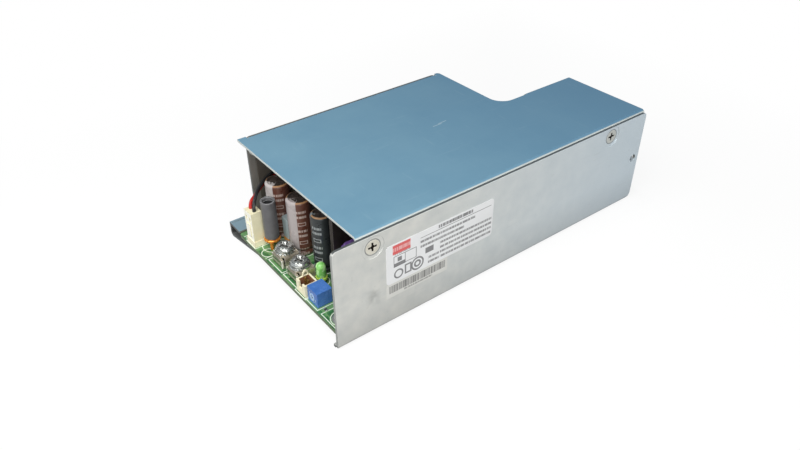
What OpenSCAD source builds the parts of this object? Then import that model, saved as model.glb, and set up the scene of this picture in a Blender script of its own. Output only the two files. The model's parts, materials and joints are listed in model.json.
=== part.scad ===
// Open frame power supply: a folded chassis and cover round a 5 x 3 inch circuit board,
// with screw terminals at the open end and a small axial fan at the other end.
// X runs from the open output end (-X) to the fan end (+X), the plain side wall is at -Y.

/* [Case] */
// Length of the chassis side wall
case_l = 158.5; // [158:0.5:160]
// Width over both side walls
case_w = 86; // [86:0.5:87]
// Height of the cover above the resting surface
case_h = 43.8; // [43.8:0.1:45]
// Thickness of the chassis sheet
sheet_t = 1.2; // [1:0.1:1.2]
// Thickness of the cover sheet
cover_t = 1; // [0.8:0.1:1]
// Outer radius of the chassis folds
fold_r = 2; // [1.6:0.1:2.2]
// Height of the side walls
wall_h = 43; // [42:0.1:43]
// Distance from the open end to the front edge of the cover
cover_front = 10.3; // [9:0.1:12]
// Distance from the open end to the front edge of the far wall
far_front = 14; // [13.5:0.1:14.5]
// Distance from the open end to the notch in the cover
notch_x = 114.7; // [114:0.1:115]
// Radius of the inside corner of the notch
notch_r = 7; // [3:0.5:8]
// Height of the folded ledge beside the board
ledge_z = 6.6; // [6.4:0.1:7]

/* [Circuit board] */
// Length of the circuit board
board_l = 127; // [126:0.1:127]
// Width of the circuit board
board_w = 75; // [74:0.1:75]
// Thickness of the circuit board
board_t = 1.6; // [1.2:0.1:1.6]
// Height of the standoffs under the board
standoff_h = 3; // [3:0.1:3]
// Height of the electrolytic capacitors at the output
output_cap_h = 25.2; // [22:0.1:27]
// Radius of the two brown electrolytic capacitors at the output
output_cap_r = 5; // [4.5:0.1:5]
// Radius of the dark electrolytic capacitor at the output
slim_cap_r = 4; // [3.5:0.1:4.2]
// Height of the bulk capacitors
bulk_cap_h = 34; // [30:0.5:35]
// Height of the heatsink plates above the board
heatsink_h = 31; // [28:0.5:31]

/* [Terminals] */
// Width of a terminal bracket along the board's edge
terminal_w = 8; // [7:0.1:8]
// Height of a terminal bracket above the board
terminal_h = 5.6; // [5:0.1:6]
// Radius of a terminal screw's head
terminal_head_r = 3.6; // [3.2:0.1:3.7]

/* [Fan] */
// Side of the square fan frame
fan_side = 40; // [40:0.1:40]
// Depth of the fan
fan_depth = 28; // [28:0.1:28]
// Radius of the fan's air opening
fan_bore_r = 18.5; // [18.3:0.1:18.7]
// Radius at the tips of the blades
blade_tip_r = 17.8; // [17:0.1:17.9]
// Radius of the fan's hub
hub_r = 10.5; // [9:0.1:11]
// Number of fan blades
blade_count = 7; // [5:1:9]
// Radius of the fan's shaft
shaft_r = 1.5; // [1.2:0.1:1.6]

/* [Hidden] */
$fn = 48;
eps = 0.01;

// Fits between pieces
cone_gap = 0.02;
run_gap = 0.03;
thread_gap = 0.05;

// Heights of the main levels
board_z = sheet_t + standoff_h;
board_top = board_z + board_t;

// Place of the board in the case, measured from the open end and from the plain wall
board_x = 1.5;
board_y = 1.6;

// Cover: the outer faces of its folded flanges lie against the inside of the walls
cover_fold_r = 1.6;
cover_y0 = sheet_t;
cover_y1 = case_w - sheet_t;
far_flange = [far_front + 0.6, notch_x - 3];
fold_relief = 0.6;
flange_drop = 9;
fan_skirt_x = 130.4;
fan_skirt_y = 44.4;
fan_edge_y = fan_skirt_y - cover_fold_r;

// Countersunk screws: recess depth, head radius and shank
recess_r = 4.6;
recess_d = 0.2;
csk_r = 2.9;
m3_r = 1.45;
m3_hole_r = m3_r + thread_gap;
csk_h = csk_r - m3_r;
// Case screws: distance from the open end and height, on each wall
near_screws = [[16.1, 38.2], [136.8, 38.8]];
far_screws = [[22, 38.2], [106, 38.2]];
case_screw_l = 6;

// Side hole in the plain wall and mounting holes in the base
side_hole = [155, 22.2];
side_hole_r = 1.7;
mount_hole_r = 1.7;
mount_pitch = [88, 40];
mount_centre = [69, 45];

// Board fixing holes, from the open end and from the plain wall
board_holes = [[7, 7.8], [25.6, 72], [122.5, 7.8], [122.5, 72]];
standoff_r = 2.75;
stem_r = 2.1;

// Fan bay
fan_y = 22.5;
fan_lift = 0.8;
fan_z = sheet_t + fan_lift + fan_side / 2;
fan_x1 = case_l - sheet_t;
fan_x0 = fan_x1 - fan_depth;
fan_pitch = 32;
end_flange_w = 39.8;
end_opening_r = 18.6;
spoke_t = 3;
tube_r = 3.2;

// Fan leads: round points chosen by hand, from the plug to the fan frame,
// measured from the open end, from the plain wall and from the resting surface
lead_r = 0.75;
lead_sides = 8;
lead_steps = 3;
lead_red_route = [
    [4.6, 68.5, 21.8], [4.7, 68.6, 23], [6, 69.8, 24.1], [8.2, 71.4, 24.4], [10.5, 73.6, 24.3],
    [13.2, 75.8, 24.4], [17, 78.2, 24.7], [22, 80.2, 25.4], [32, 80.8, 26.4], [45, 80.6, 27.4],
    [58, 80.8, 28.2], [71, 80.6, 28.6], [84, 80.6, 29.6], [96, 80, 32], [105, 78, 36], [111, 73, 39.4],
    [113, 66, 40.6], [113.2, 58, 40.8], [113.6, 50, 40.6], [115.4, 44, 39.4], [119, 41.6, 36],
    [123.4, 41.3, 32.4], [127, 41.3, 31], [129.3, 41.3, 31]];
lead_black_route = [
    [4.6, 65.5, 21.8], [4.8, 65.8, 23.6], [6.2, 67.2, 25.4], [8.4, 69.8, 26.2], [10.6, 72.4, 26.3],
    [13.4, 75, 26.4], [17.2, 77.6, 26.6], [23, 79.8, 27.4], [33, 80.4, 28.6], [46, 80.2, 29.7],
    [59, 80.4, 30.4], [71, 80.2, 31], [83, 79.8, 32], [93, 78.6, 34.6], [101, 76, 38], [107, 71, 40.2],
    [110, 65, 40.8], [110.8, 58, 40.8], [111.4, 50, 40.6], [113, 43.4, 39], [117, 40.8, 34.6],
    [122, 41, 30.6], [126.6, 41.3, 28.8], [129.3, 41.3, 28.6]];

// Places of the parts on the board
plug_box = [4.8, 6, 13.4];
plug_at = [2.2, 64];
header_base_h = 2.6;
rod_at = [8.7, 60.8];
rod_r = 3;
rod_coil_r = 3.4;
rod_wire_r = 0.7;
rod_z = 4.6;
rod_top = 22.2;
output_caps = [[16.8, 67], [17.3, 51.5], [17.9, 36.3]];
slim_cap_extra = 0.6;
snubber_at = [14, 57.1];
snubber_box = [5.6, 4.3, 12];
terminals = [[3.6, 44.4], [3.6, 33]];
terminal_depth = 8;
terminal_t = 1;
terminal_shank_r = 1.9;
terminal_washer_t = 0.8;
signal_at = [2.2, 24.9];
signal_box = [5.8, 6.3, 5.4];
trimmer_at = [2.8, 17.4];
trimmer_box = [6.6, 6.9, 6.4];
trimmer_screw_r = 1.6;
led_at = [12.3, 29.6];
led_r = 1.95;

heatsink_t = 2;
output_sink = [15.6, 24.5, 46];
primary_sink = [66, 57, 46];
rectifier_x = [34, 46, 58];
transistor_x = [71.5, 83.5];
bridge_x = 101;
bridge_t = 3.6;
package_w = 10;
package_h = 15.4;
package_lift = 3;
tab_t = 1.3;
tab_hole_r = 1.8;
tab_hole_drop = 2.6;
toroid_at = [21.5, 13.3];
toroid_r = 9.6;
toroid_t = 8;
toroid_lift = 13.6;
transformer_at = [43, 51.5];
bulk_caps = [[75, 14.6], [98.5, 14.6]];
bulk_cap_r = 11;
pfc_at = [80, 41.6];
emi_at = [104, 37];
x_cap_at = [95, 47.6];
aux_at = [76, 70.4];
fuse_at = [116.4, 46];
inlet_at = [120.2, 47];
y_caps_at = [[119.6, 36], [119.6, 27]];
fuse_l = 20;
fuse_r = 2.6;
fuse_lift = 4;

// Places everything measured from the open end and the plain wall
module in_case() translate([-case_l / 2, -case_w / 2, 0]) children();

// Places a part on the board's top face
module on_board(at, lift = 0) in_case() translate([at[0], at[1], board_top + lift]) children();

// Turns a flat outline in Y and Z into a length along X
module along_x(x0, x1) translate([x0, 0, 0]) rotate([90, 0, 90]) linear_extrude(x1 - x0) children();

// Turns a flat outline in X and Z into a thickness along Y
module along_y(y0, y1) translate([0, y1, 0]) rotate([90, 0, 0]) linear_extrude(y1 - y0) children();

// Flat rectangle with round corners
module round_rect(w, d, r) {
    translate([r, 0]) square([w - 2 * r, d]);
    translate([0, r]) square([w, d - 2 * r]);
    for (x = [r, w - r], y = [r, d - r]) translate([x, y]) circle(r);
}

// Box with round upright edges
module round_box(size, r) linear_extrude(size[2]) round_rect(size[0], size[1], r);

// Quarter ring of a fold: its centre is at the origin and it fills the quarter [sx, sy]
module fold(r, t, sx, sy) intersection() {
    difference() {
        circle(r);
        circle(r - t);
    }
    translate([sx < 0 ? -r : 0, sy < 0 ? -r : 0]) square(r);
}

// What a round corner removes: the sharp corner is at the origin, the body fills the quarter [sx, sy]
module corner_cut(r, sx, sy) difference() {
    translate([sx < 0 ? -r : -eps, sy < 0 ? -r : -eps]) square(r + eps);
    translate([sx * r, sy * r]) circle(r);
}

// Countersunk screw along +Z, with the rim of its head at z = 0 and its point at -length
module csk_screw(length, head_r, shank_r) difference() {
    union() {
        translate([0, 0, shank_r - head_r]) cylinder(h = head_r - shank_r, r1 = shank_r, r2 = head_r);
        translate([0, 0, -length]) cylinder(h = length, r = shank_r);
    }
    cross_recess(head_r * 0.62, 1);
}

// Cross recess, cut downwards from z = 0
module cross_recess(reach, depth) {
    arm = reach / 2;
    for (a = [0, 90]) rotate(a) translate([-reach, -arm / 2, -depth]) cube([2 * reach, arm, depth + 1]);
    translate([0, 0, -depth]) cylinder(h = depth + 1, r = reach * 0.45);
}

// Seat for a countersunk screw in a sheet: the sheet's face is at z = 0, the recess goes to -Z
module csk_seat(hole_r, deep) {
    translate([0, 0, -recess_d]) cylinder(h = recess_d + 1, r = recess_r);
    translate([0, 0, -recess_d]) csk_cone();
    translate([0, 0, -deep]) cylinder(h = deep, r = hole_r);
}

// Room for a countersunk head whose rim is at z = 0
module csk_cone() {
    translate([0, 0, -csk_h]) cylinder(h = csk_h, r1 = m3_r + cone_gap, r2 = csk_r + cone_gap);
}

// Stands a piece made along +Z on the outside of a wall
module on_near_wall(at) translate([at[0], 0, at[1]]) rotate([90, 0, 0]) children();
module on_far_wall(at) translate([at[0], case_w, at[1]]) rotate([-90, 0, 0]) children();
module on_end(y, z) translate([case_l, y, z]) rotate([0, 90, 0]) children();

module at_case_screws() {
    for (s = near_screws) on_near_wall(s) children();
    for (s = far_screws) on_far_wall(s) children();
}

module at_fan_corners() for (y = [-1, 1], z = [-1, 1]) {
    on_end(fan_y + y * fan_pitch / 2, fan_z + z * fan_pitch / 2) children();
}

module at_mount_holes() translate(mount_centre) for (i = [-1, 1], j = [-1, 1]) {
    translate([i * mount_pitch[0] / 2, j * mount_pitch[1] / 2]) children();
}

// Channel section of the chassis, in Y and Z
module channel_section() {
    translate([fold_r, 0]) square([case_w - 2 * fold_r, sheet_t]);
    translate([0, fold_r]) square([sheet_t, wall_h - fold_r]);
    translate([case_w - sheet_t, fold_r]) square([sheet_t, wall_h - fold_r]);
    translate([fold_r, fold_r]) fold(fold_r, sheet_t, -1, -1);
    translate([case_w - fold_r, fold_r]) fold(fold_r, sheet_t, 1, -1);
}

// Return of the low far wall, folded inwards level with the board
module ledge_section(inner_y) {
    top_y = case_w - fold_r;
    translate([inner_y, ledge_z - sheet_t]) square([top_y - inner_y, sheet_t]);
    translate([top_y, ledge_z - fold_r]) fold(fold_r, sheet_t, 1, 1);
}

// End wall that carries the fan, folded up from the base
module end_flange() {
    y0 = fan_y - end_flange_w / 2;
    top_z = wall_h - 1.2;
    along_y(y0, y0 + end_flange_w) {
        translate([case_l - fold_r, fold_r]) fold(fold_r, sheet_t, 1, -1);
        translate([case_l - sheet_t, fold_r]) square([sheet_t, top_z - fold_r]);
        translate([fan_x0, 0]) square([case_l - fold_r - fan_x0, sheet_t]);
    }
}

module chassis_cuts() {
    // far wall: open in front of its edge, and low beside the notch
    far_low = 8;
    along_y(case_w - fold_r - 1, case_w + 1) {
        translate([-1, ledge_z]) square([far_front + 1, wall_h]);
        translate([far_front - 1.4, sheet_t]) square([1.4 + eps, wall_h]);
        translate([far_front, wall_h]) corner_cut(2, 1, -1);
        translate([notch_x - 0.4, wall_h]) corner_cut(3, -1, -1);
        translate([notch_x - 0.4, far_low]) square([case_l, wall_h]);
    }
    // plain wall: rounded corners
    along_y(-1, fold_r + eps) {
        translate([0, wall_h]) corner_cut(2, 1, -1);
        translate([0, 0]) corner_cut(1, 1, 1);
        translate([case_l, wall_h]) corner_cut(1.5, -1, -1);
        translate([case_l, 0]) corner_cut(4, -1, 1);
    }
    // base: front edge set back under the board, and the corner beside the fan left open
    base_front = 4;
    translate([0, 0, -1]) linear_extrude(1 + sheet_t + eps) {
        polygon([[-1, fold_r + 1], [base_front, fold_r + 1], [base_front, 63], [1.6, 84], [1.6, case_w + 1],
            [-1, case_w + 1]]);
        translate([130, fan_skirt_y - 0.6]) square([case_l, case_w]);
    }
    translate([-1, fold_r + 60, sheet_t]) cube([1 + 1.6, case_w, wall_h]);
    translate([130, case_w - fold_r - 1, -1]) cube([case_l, fold_r + 2, wall_h]);
    // slits beside the fan's end wall
    end_y0 = fan_y - end_flange_w / 2;
    translate([case_l - fold_r, sheet_t, -1]) cube([fold_r + 1, end_y0 - sheet_t, fold_r + 1]);
    translate([case_l - fold_r, end_y0 + end_flange_w, -1]) cube([fold_r + 1, 10, fold_r + 1]);
}

module chassis_holes() {
    at_case_screws() csk_seat(m3_hole_r, sheet_t + 1);
    at_fan_corners() csk_seat(m3_r + cone_gap, sheet_t + 1);
    on_end(fan_y, fan_z) translate([0, 0, -sheet_t - 1]) {
        cylinder(h = sheet_t + 2, r = end_opening_r, $fn = 96);
    }
    on_near_wall(side_hole) translate([0, 0, -sheet_t - 1]) cylinder(h = sheet_t + 2, r = side_hole_r);
    for (h = board_holes) translate([h[0], h[1], -1]) cylinder(h = sheet_t + 2, r = stem_r + cone_gap);
    at_mount_holes() translate([0, 0, -1]) cylinder(h = sheet_t + 2, r = mount_hole_r);
}

module chassis() color("lightgray") in_case() difference() {
    union() {
        along_x(0, case_l) channel_section();
        along_x(1.6, far_front - 1.4) ledge_section(board_y + board_w + 0.3);
        end_flange();
    }
    chassis_cuts();
    chassis_holes();
}

// Outline of the cover seen from above, before its edges are folded
module cover_outline() difference() {
    union() {
        difference() {
            translate([cover_front, cover_y0]) square([case_l - cover_front, cover_y1 - cover_y0]);
            translate([notch_x, fan_edge_y]) square([case_l, case_w]);
        }
        // round inside corner of the notch
        difference() {
            translate([notch_x - eps, fan_edge_y - eps]) square(notch_r + eps);
            translate([notch_x + notch_r, fan_edge_y + notch_r]) circle(notch_r);
        }
    }
    translate([notch_x, cover_y1]) corner_cut(1.5, -1, -1);
    // room for the folds, with a relief slot beside each end of the far one
    translate([0, cover_y0 - 1]) square([case_l + 1, 1 + cover_fold_r]);
    translate([far_flange[0] - fold_relief, cover_y1 - cover_fold_r]) {
        square([far_flange[1] - far_flange[0] + 2 * fold_relief, cover_fold_r + 1]);
    }
}

// Folded edge of the cover: the outer face is at Y = 0 and the sheet lies on the side sy
module cover_flange(x0, x1, y, sy, drop) {
    r = cover_fold_r;
    along_x(x0, x1) {
        translate([y + sy * r, case_h - r]) fold(r, cover_t, -sy, 1);
        translate([sy > 0 ? y : y - cover_t, case_h - drop]) square([cover_t, drop - r]);
    }
}

module cover() color("lightsteelblue") in_case() difference() {
    union() {
        translate([0, 0, case_h - cover_t]) linear_extrude(cover_t) cover_outline();
        cover_flange(cover_front, case_l, cover_y0, 1, flange_drop);
        cover_flange(far_flange[0], far_flange[1], cover_y1, -1, flange_drop);
        cover_flange(fan_skirt_x, case_l, fan_skirt_y, -1, case_h - sheet_t - 0.3);
    }
    at_case_screws() translate([0, 0, -recess_d]) {
        csk_cone();
        translate([0, 0, -4]) cylinder(h = 4, r = m3_hole_r);
    }
    // rounded ends of the flanges
    along_y(0, cover_y0 + 2) translate([cover_front, case_h - flange_drop]) corner_cut(2, 1, 1);
    along_y(cover_y1 - 2, case_w) {
        translate([far_flange[0], case_h - flange_drop]) corner_cut(2, 1, 1);
        translate([far_flange[1], case_h - flange_drop]) corner_cut(2, -1, 1);
    }
}

module case_screws() color("whitesmoke") in_case() at_case_screws() {
    translate([0, 0, -recess_d]) csk_screw(case_screw_l, csk_r, m3_r);
}

module insulating_sheet() {
    t = 0.35;
    bend = 1;
    y1 = cover_y1 - cover_t - 0.2;
    x0 = 6;
    x1 = board_x + board_l - 2;
    wall_x0 = 16.5;
    wall_x1 = notch_x - 3;
    color("tan") in_case() difference() {
        union() {
            along_x(x0, x1) translate([fold_r + 1, sheet_t]) square([y1 - bend - fold_r - 1, t]);
            along_x(wall_x0, wall_x1) {
                translate([y1 - bend, sheet_t + bend]) fold(bend, t, 1, -1);
                translate([y1 - t, sheet_t + bend]) square([t, case_h - cover_t - 1 - sheet_t - bend]);
            }
        }
        for (h = board_holes) translate([h[0], h[1], 0]) cylinder(h = board_z, r = standoff_r + 0.5);
        at_mount_holes() cylinder(h = board_z, r = mount_hole_r + 1.5);
        at_case_screws() translate([0, 0, -case_screw_l]) cylinder(h = case_screw_l, r = m3_r + 1);
    }
}

module board_standoffs() color("silver") in_case() for (h = board_holes) translate(h) difference() {
    union() {
        translate([0, 0, sheet_t]) cylinder(h = standoff_h, r = standoff_r, $fn = 6);
        cylinder(h = sheet_t + eps, r = stem_r);
    }
    translate([0, 0, -1]) cylinder(h = board_z + 2, r = m3_hole_r);
}

module circuit_board() color("seagreen") in_case() difference() {
    translate([board_x, board_y, board_z]) round_box([board_l, board_w, board_t], 1);
    for (h = board_holes) translate([h[0], h[1], board_z - 1]) cylinder(h = board_t + 2, r = 1.7);
}

// Pan head screw with its seat at z = 0
module pan_screw(length, head_r, head_h, shank_r) difference() {
    union() {
        rotate_extrude() polygon([[0, 0], [head_r, 0], [head_r, head_h * 0.45],
            [head_r * 0.82, head_h * 0.85], [head_r * 0.5, head_h], [0, head_h]]);
        translate([0, 0, -length]) cylinder(h = length + eps, r = shank_r);
    }
    translate([0, 0, head_h]) cross_recess(head_r * 0.6, head_h * 0.55);
}

module flat_washer(outer_r, inner_r, t) difference() {
    cylinder(h = t, r = outer_r);
    translate([0, 0, -1]) cylinder(h = t + 2, r = inner_r);
}

module board_screws() color("silver") for (h = board_holes) on_board(h) {
    pan_screw(5, 3, 2.2, m3_r);
}

// Fan plug: a crimp housing on its pin header
module fan_header() color("ivory") on_board(plug_at) {
    difference() {
        translate([-0.3, -0.3, 0]) cube([plug_box[0] + 0.6, plug_box[1] + 0.6, header_base_h]);
        translate([0.7, 0.7, 1]) cube([plug_box[0] - 1.4, plug_box[1] - 1.4, header_base_h]);
    }
    for (y = [1.5, 4.5]) translate([plug_box[0] / 2 - 0.32, y - 0.32, 1 - eps]) cube([0.64, 0.64, 6]);
}

module fan_plug() color("ivory") on_board(plug_at, header_base_h) difference() {
    union() {
        cube(plug_box);
        translate([0.9, 0.9, -1.2]) cube([plug_box[0] - 1.8, plug_box[1] - 1.8, 1.2 + eps]);
        // latch rib on the face towards the open end
        translate([-0.4, 1.6, 2]) cube([0.4 + eps, 2.8, 6]);
        translate([plug_box[0] - eps, 1.6, 2]) cube([0.3, 2.8, 8]);
    }
    for (y = [1.5, 4.5]) {
        translate([plug_box[0] / 2 - 0.5, y - 0.5, -2]) cube([1, 1, 7]);
    }
    // windows for the crimp tangs
    for (y = [1.5, 4.5]) translate([-1, y - 0.5, plug_box[2] - 4]) cube([1.5, 1, 2]);
}

// Smooth route through hand-chosen points, and the tube swept along it
function route_point(p, i, t) = let (
    n = len(p) - 1,
    a = p[max(i - 1, 0)], b = p[i], c = p[min(i + 1, n)], d = p[min(i + 2, n)])
    0.5 * ((2 * b) + (c - a) * t + (2 * a - 5 * b + 4 * c - d) * t * t + (3 * b - a - 3 * c + d) * t * t * t);
function smooth_route(p, steps) = [
    for (i = [0:len(p) - 2], k = [0:steps - 1]) route_point(p, i, k / steps), p[len(p) - 1]];
function unit(v) = v / norm(v);
function tangent(p, i, first, last) = i == 0 ? first : i == len(p) - 1 ? last : unit(p[i + 1] - p[i - 1]);
function ring(centre, dir, up, r, n) = let (u = unit(cross(up, dir)), w = cross(dir, u))
    [for (k = [0:n - 1]) centre + r * (cos(360 * k / n) * u + sin(360 * k / n) * w)];

module tube(route, r, n, first, last, up) {
    path = smooth_route(route, lead_steps);
    m = len(path);
    points = [for (i = [0:m - 1]) each ring(path[i], tangent(path, i, first, last), up, r, n)];
    sides = [for (i = [0:m - 2], k = [0:n - 1])
        let (a = i * n + k, b = i * n + (k + 1) % n) [a, a + n, b + n, b]];
    start = [for (k = [0:n - 1]) k];
    end = [for (k = [n - 1:-1:0]) (m - 1) * n + k];
    polyhedron(points, concat([start], sides, [end]));
}

module fan_lead(route) in_case() tube(route, lead_r, lead_sides, [0, 0, 1], [1, 0, 0], [0.1, 1, 0.05]);
module fan_lead_red() color("firebrick") fan_lead(lead_red_route);
module fan_lead_black() color("dimgray") fan_lead(lead_black_route);

// Fan: frame, winding, rotor and screws
module in_fan() in_case() translate([fan_x0, fan_y, fan_z]) rotate([90, 0, 90]) children();

module fan_frame() {
    flange = 3.6;
    half = fan_side / 2;
    sink = csk_r + recess_d - sheet_t - m3_r;
    spoke_l = fan_bore_r - hub_r + 0.6;
    color("dimgray") in_fan() difference() {
        union() {
            for (z = [0, fan_depth - flange]) translate([-half, -half, z]) {
                round_box([fan_side, fan_side, flange], 3);
            }
            cylinder(h = fan_depth, r = half - 0.2, $fn = 96);
        }
        translate([0, 0, -1]) cylinder(h = fan_depth + 2, r = fan_bore_r, $fn = 96);
        for (x = [-1, 1], y = [-1, 1]) translate([x, y, 0] * fan_pitch / 2) {
            translate([0, 0, -1]) cylinder(h = fan_depth + 2, r = m3_hole_r);
            translate([0, 0, fan_depth - sink]) cylinder(h = sink, r1 = m3_hole_r, r2 = m3_hole_r + sink);
        }
    }
    // spokes, hub plate and bearing tube
    color("dimgray") in_fan() difference() {
        union() {
            cylinder(h = spoke_t, r = hub_r + 0.4);
            for (a = [45, 135, 225, 315]) rotate(a) translate([hub_r, -1, 0]) cube([spoke_l, 2, spoke_t]);
            cylinder(h = 20, r = tube_r);
        }
        translate([0, 0, 1.2]) cylinder(h = 30, r = shaft_r + run_gap);
    }
}

module fan_stator() color("chocolate") in_fan() translate([0, 0, spoke_t + 1]) difference() {
    union() {
        cylinder(h = 12, r = tube_r + 1);
        for (a = [0, 90, 180, 270]) rotate(a) {
            translate([0, -2, 2]) cube([7.6, 4, 8]);
            intersection() {
                translate([6.4, -5, 3.5]) cube([4, 10, 5]);
                cylinder(h = 12, r = 8.6);
            }
        }
    }
    translate([0, 0, -1]) cylinder(h = 20, r = tube_r + cone_gap);
}

// One fan blade: a slice of a leaning cylinder wall, so it is curved and pitched
module fan_blade() intersection() {
    translate([0, 0, 6]) difference() {
        cylinder(h = fan_depth - 8, r = blade_tip_r);
        translate([0, 0, -1]) cylinder(h = fan_depth, r = hub_r - 0.6);
    }
    translate([0, 7, 30]) rotate([0, 90, 0]) difference() {
        cylinder(h = 30, r = 26, $fn = 96);
        translate([0, 0, -1]) cylinder(h = 32, r = 25, $fn = 96);
    }
    translate([0, -30, 0]) cube([30, 28, 40]);
}

module fan_rotor() color("darkslategray") in_fan() {
    difference() {
        union() {
            translate([0, 0, spoke_t + 0.8]) cylinder(h = fan_depth - spoke_t - 1.8, r = hub_r, $fn = 96);
            for (i = [0:blade_count - 1]) rotate(i * 360 / blade_count) fan_blade();
        }
        translate([0, 0, 0]) cylinder(h = fan_depth - 2.4, r = hub_r - 1.2, $fn = 96);
    }
    translate([0, 0, 2]) cylinder(h = fan_depth - 4, r = shaft_r);
}

module fan_screws() color("silver") in_case() at_fan_corners() {
    translate([0, 0, -recess_d]) csk_screw(5, csk_r, m3_r);
}

// Rod choke: thick wire round a ferrite rod, standing on the ends of its wire, most of it in a shrink sleeve
module rod_choke_coil() color("darkorange") on_board(rod_at) {
    translate([0, 0, rod_z - rod_wire_r]) rotate_extrude() {
        translate([rod_coil_r - rod_wire_r, 0]) circle(rod_wire_r, $fn = 24);
    }
    translate([0, 0, rod_z - 2 * rod_wire_r]) cylinder(h = 2 * rod_wire_r, r = rod_coil_r - rod_wire_r);
    for (side = [-1, 1]) translate([side * 1.5, side * 1.9, 0]) {
        cylinder(h = rod_z - rod_wire_r, r = rod_wire_r);
    }
}

module rod_choke_sleeve() color("dimgray") on_board(rod_at, rod_z) rotate_extrude() {
    h = rod_top - rod_z;
    rim = 0.4;
    polygon([[0, 0], [rod_r - 0.3, 0], [rod_r, 0.5], [rod_r, h - 0.4], [rod_r - rim / 2, h],
        [rod_r - 2 * rim, h - 0.2], [rod_r - 2.5 * rim, h - 1.4], [0, h - 1.4]]);
}

// Electrolytic capacitor in its sleeve: crimped groove, rolled shoulder and a scored top
module can_capacitor(r, h) difference() {
    rotate_extrude() polygon([[0, 0], [r - 0.5, 0], [r, 0.5], [r, 1.6], [r - 0.45, 2.2], [r - 0.45, 2.8],
        [r, 3.4], [r, h - 0.9], [r - 0.3, h - 0.3], [r - 0.8, h], [r - 1.2, h - 0.1], [r - 1.3, h - 0.5],
        [0, h - 0.5]]);
    for (a = [45, 135]) rotate(a) translate([-r * 0.6, -0.15, h - 0.7]) cube([r * 1.2, 0.3, 1]);
}

module output_capacitor(i) on_board(output_caps[i]) can_capacitor(output_cap_r, output_cap_h);
module output_capacitor_1() color("saddlebrown") output_capacitor(0);
module output_capacitor_2() color("saddlebrown") output_capacitor(1);
module output_capacitor_3() color("dimgray") on_board(output_caps[2]) {
    can_capacitor(slim_cap_r, output_cap_h + slim_cap_extra);
}

module snubber_capacitor() color("lightgray") on_board(snubber_at) round_box(snubber_box, 0.6);

// Terminal bracket: a plate folded down on both sides and at its front, with feet on the board
module terminal_bracket(at) on_board(at) difference() {
    r = 1.4;
    t = terminal_t;
    w = terminal_w;
    h = terminal_h;
    union() {
        along_x(r, terminal_depth) {
            translate([r, h - t]) square([w - 2 * r, t]);
            translate([r, h - r]) fold(r, t, -1, 1);
            translate([w - r, h - r]) fold(r, t, 1, 1);
            square([t, h - r]);
            translate([w - t, 0]) square([t, h - r]);
        }
        along_y(r, w - r) translate([r, h - r]) fold(r, t, -1, 1);
        translate([0, 0.2, 0.5]) cube([t, w - 0.4, h - r - 0.5]);
    }
    translate([terminal_depth / 2, w / 2, 0]) cylinder(h = 20, r = terminal_shank_r + thread_gap);
    // the sides stand on two feet each
    translate([3, -1, -1]) cube([terminal_depth - 4.4, w + 2, 2.2]);
}

module terminal_bracket_plus() color("silver") terminal_bracket(terminals[0]);
module terminal_bracket_minus() color("silver") terminal_bracket(terminals[1]);

module at_terminals(lift) for (t = terminals) {
    on_board([t[0] + terminal_depth / 2, t[1] + terminal_w / 2], terminal_h + lift) children();
}

module terminal_washers() color("gainsboro") at_terminals(0) {
    flat_washer(terminal_head_r + 0.5, terminal_shank_r + 0.2, terminal_washer_t);
}

module terminal_screws() color("gainsboro") at_terminals(terminal_washer_t) {
    pan_screw(5.4, terminal_head_r, 2.4, terminal_shank_r);
}

// Signal header: an open box with a slotted end and two pins
module signal_header() color("wheat") on_board(signal_at) difference() {
    cube(signal_box);
    translate([0.8, 0.8, 1.4]) cube([signal_box[0] - 1.6, signal_box[1] - 1.6, signal_box[2]]);
    translate([-1, 2, 2.6]) cube([2, signal_box[1] - 4, signal_box[2]]);
}

module signal_pins() color("gold") on_board(signal_at, 1.4) for (y = [2.2, 4.1]) {
    translate([signal_box[0] / 2 - 0.3, y - 0.3, 0]) cube([0.6, 0.6, 4.6]);
}

// Trimmer: the adjusting screw faces the open end
module at_trimmer_screw() on_board(trimmer_at) {
    translate([0, trimmer_box[1] / 2, trimmer_box[2] / 2]) rotate([0, -90, 0]) children();
}

module trimmer_body() color("royalblue") difference() {
    on_board(trimmer_at) round_box(trimmer_box, 0.3);
    at_trimmer_screw() translate([0, 0, -1.4]) cylinder(h = 3, r = trimmer_screw_r + run_gap);
}

module trimmer_screw() color("white") difference() {
    at_trimmer_screw() translate([0, 0, -1.36]) cylinder(h = 1.5, r = trimmer_screw_r);
    at_trimmer_screw() translate([-1.2, -0.25, -0.4]) cube([2.4, 0.5, 1]);
    at_trimmer_screw() translate([-0.25, -1.2, -0.4]) cube([0.5, 2.4, 1]);
}

module led_lens() color("limegreen") on_board(led_at, 1.6) {
    cylinder(h = 1, r = led_r + 0.35);
    cylinder(h = 5.6, r = led_r);
    translate([0, 0, 5.6]) intersection() {
        sphere(led_r);
        cylinder(h = led_r + 1, r = led_r + 1);
    }
}

module led_leads() color("silver") on_board(led_at) for (y = [-1.27, 1.27]) {
    translate([-0.25, y - 0.25, 0]) cube([0.5, 0.5, 1.6]);
}

// Heatsink plate on edge, with solder feet at its ends
module heatsink(at) on_board(at) difference() {
    cube([at[2], heatsink_t, heatsink_h]);
    translate([3, -1, -1]) cube([at[2] - 6, heatsink_t + 2, 1.6]);
}

module sink_hole(x, at) on_board([x, at[1] - 1], package_lift + package_h - tab_hole_drop) {
    rotate([-90, 0, 0]) cylinder(h = heatsink_t + 2, r = m3_hole_r);
}

module output_heatsink() color("dimgray") difference() {
    heatsink(output_sink);
    for (x = rectifier_x) sink_hole(x, output_sink);
}

module primary_heatsink() color("silver") difference() {
    heatsink(primary_sink);
    for (x = concat(transistor_x, [bridge_x])) sink_hole(x, primary_sink);
}

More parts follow.
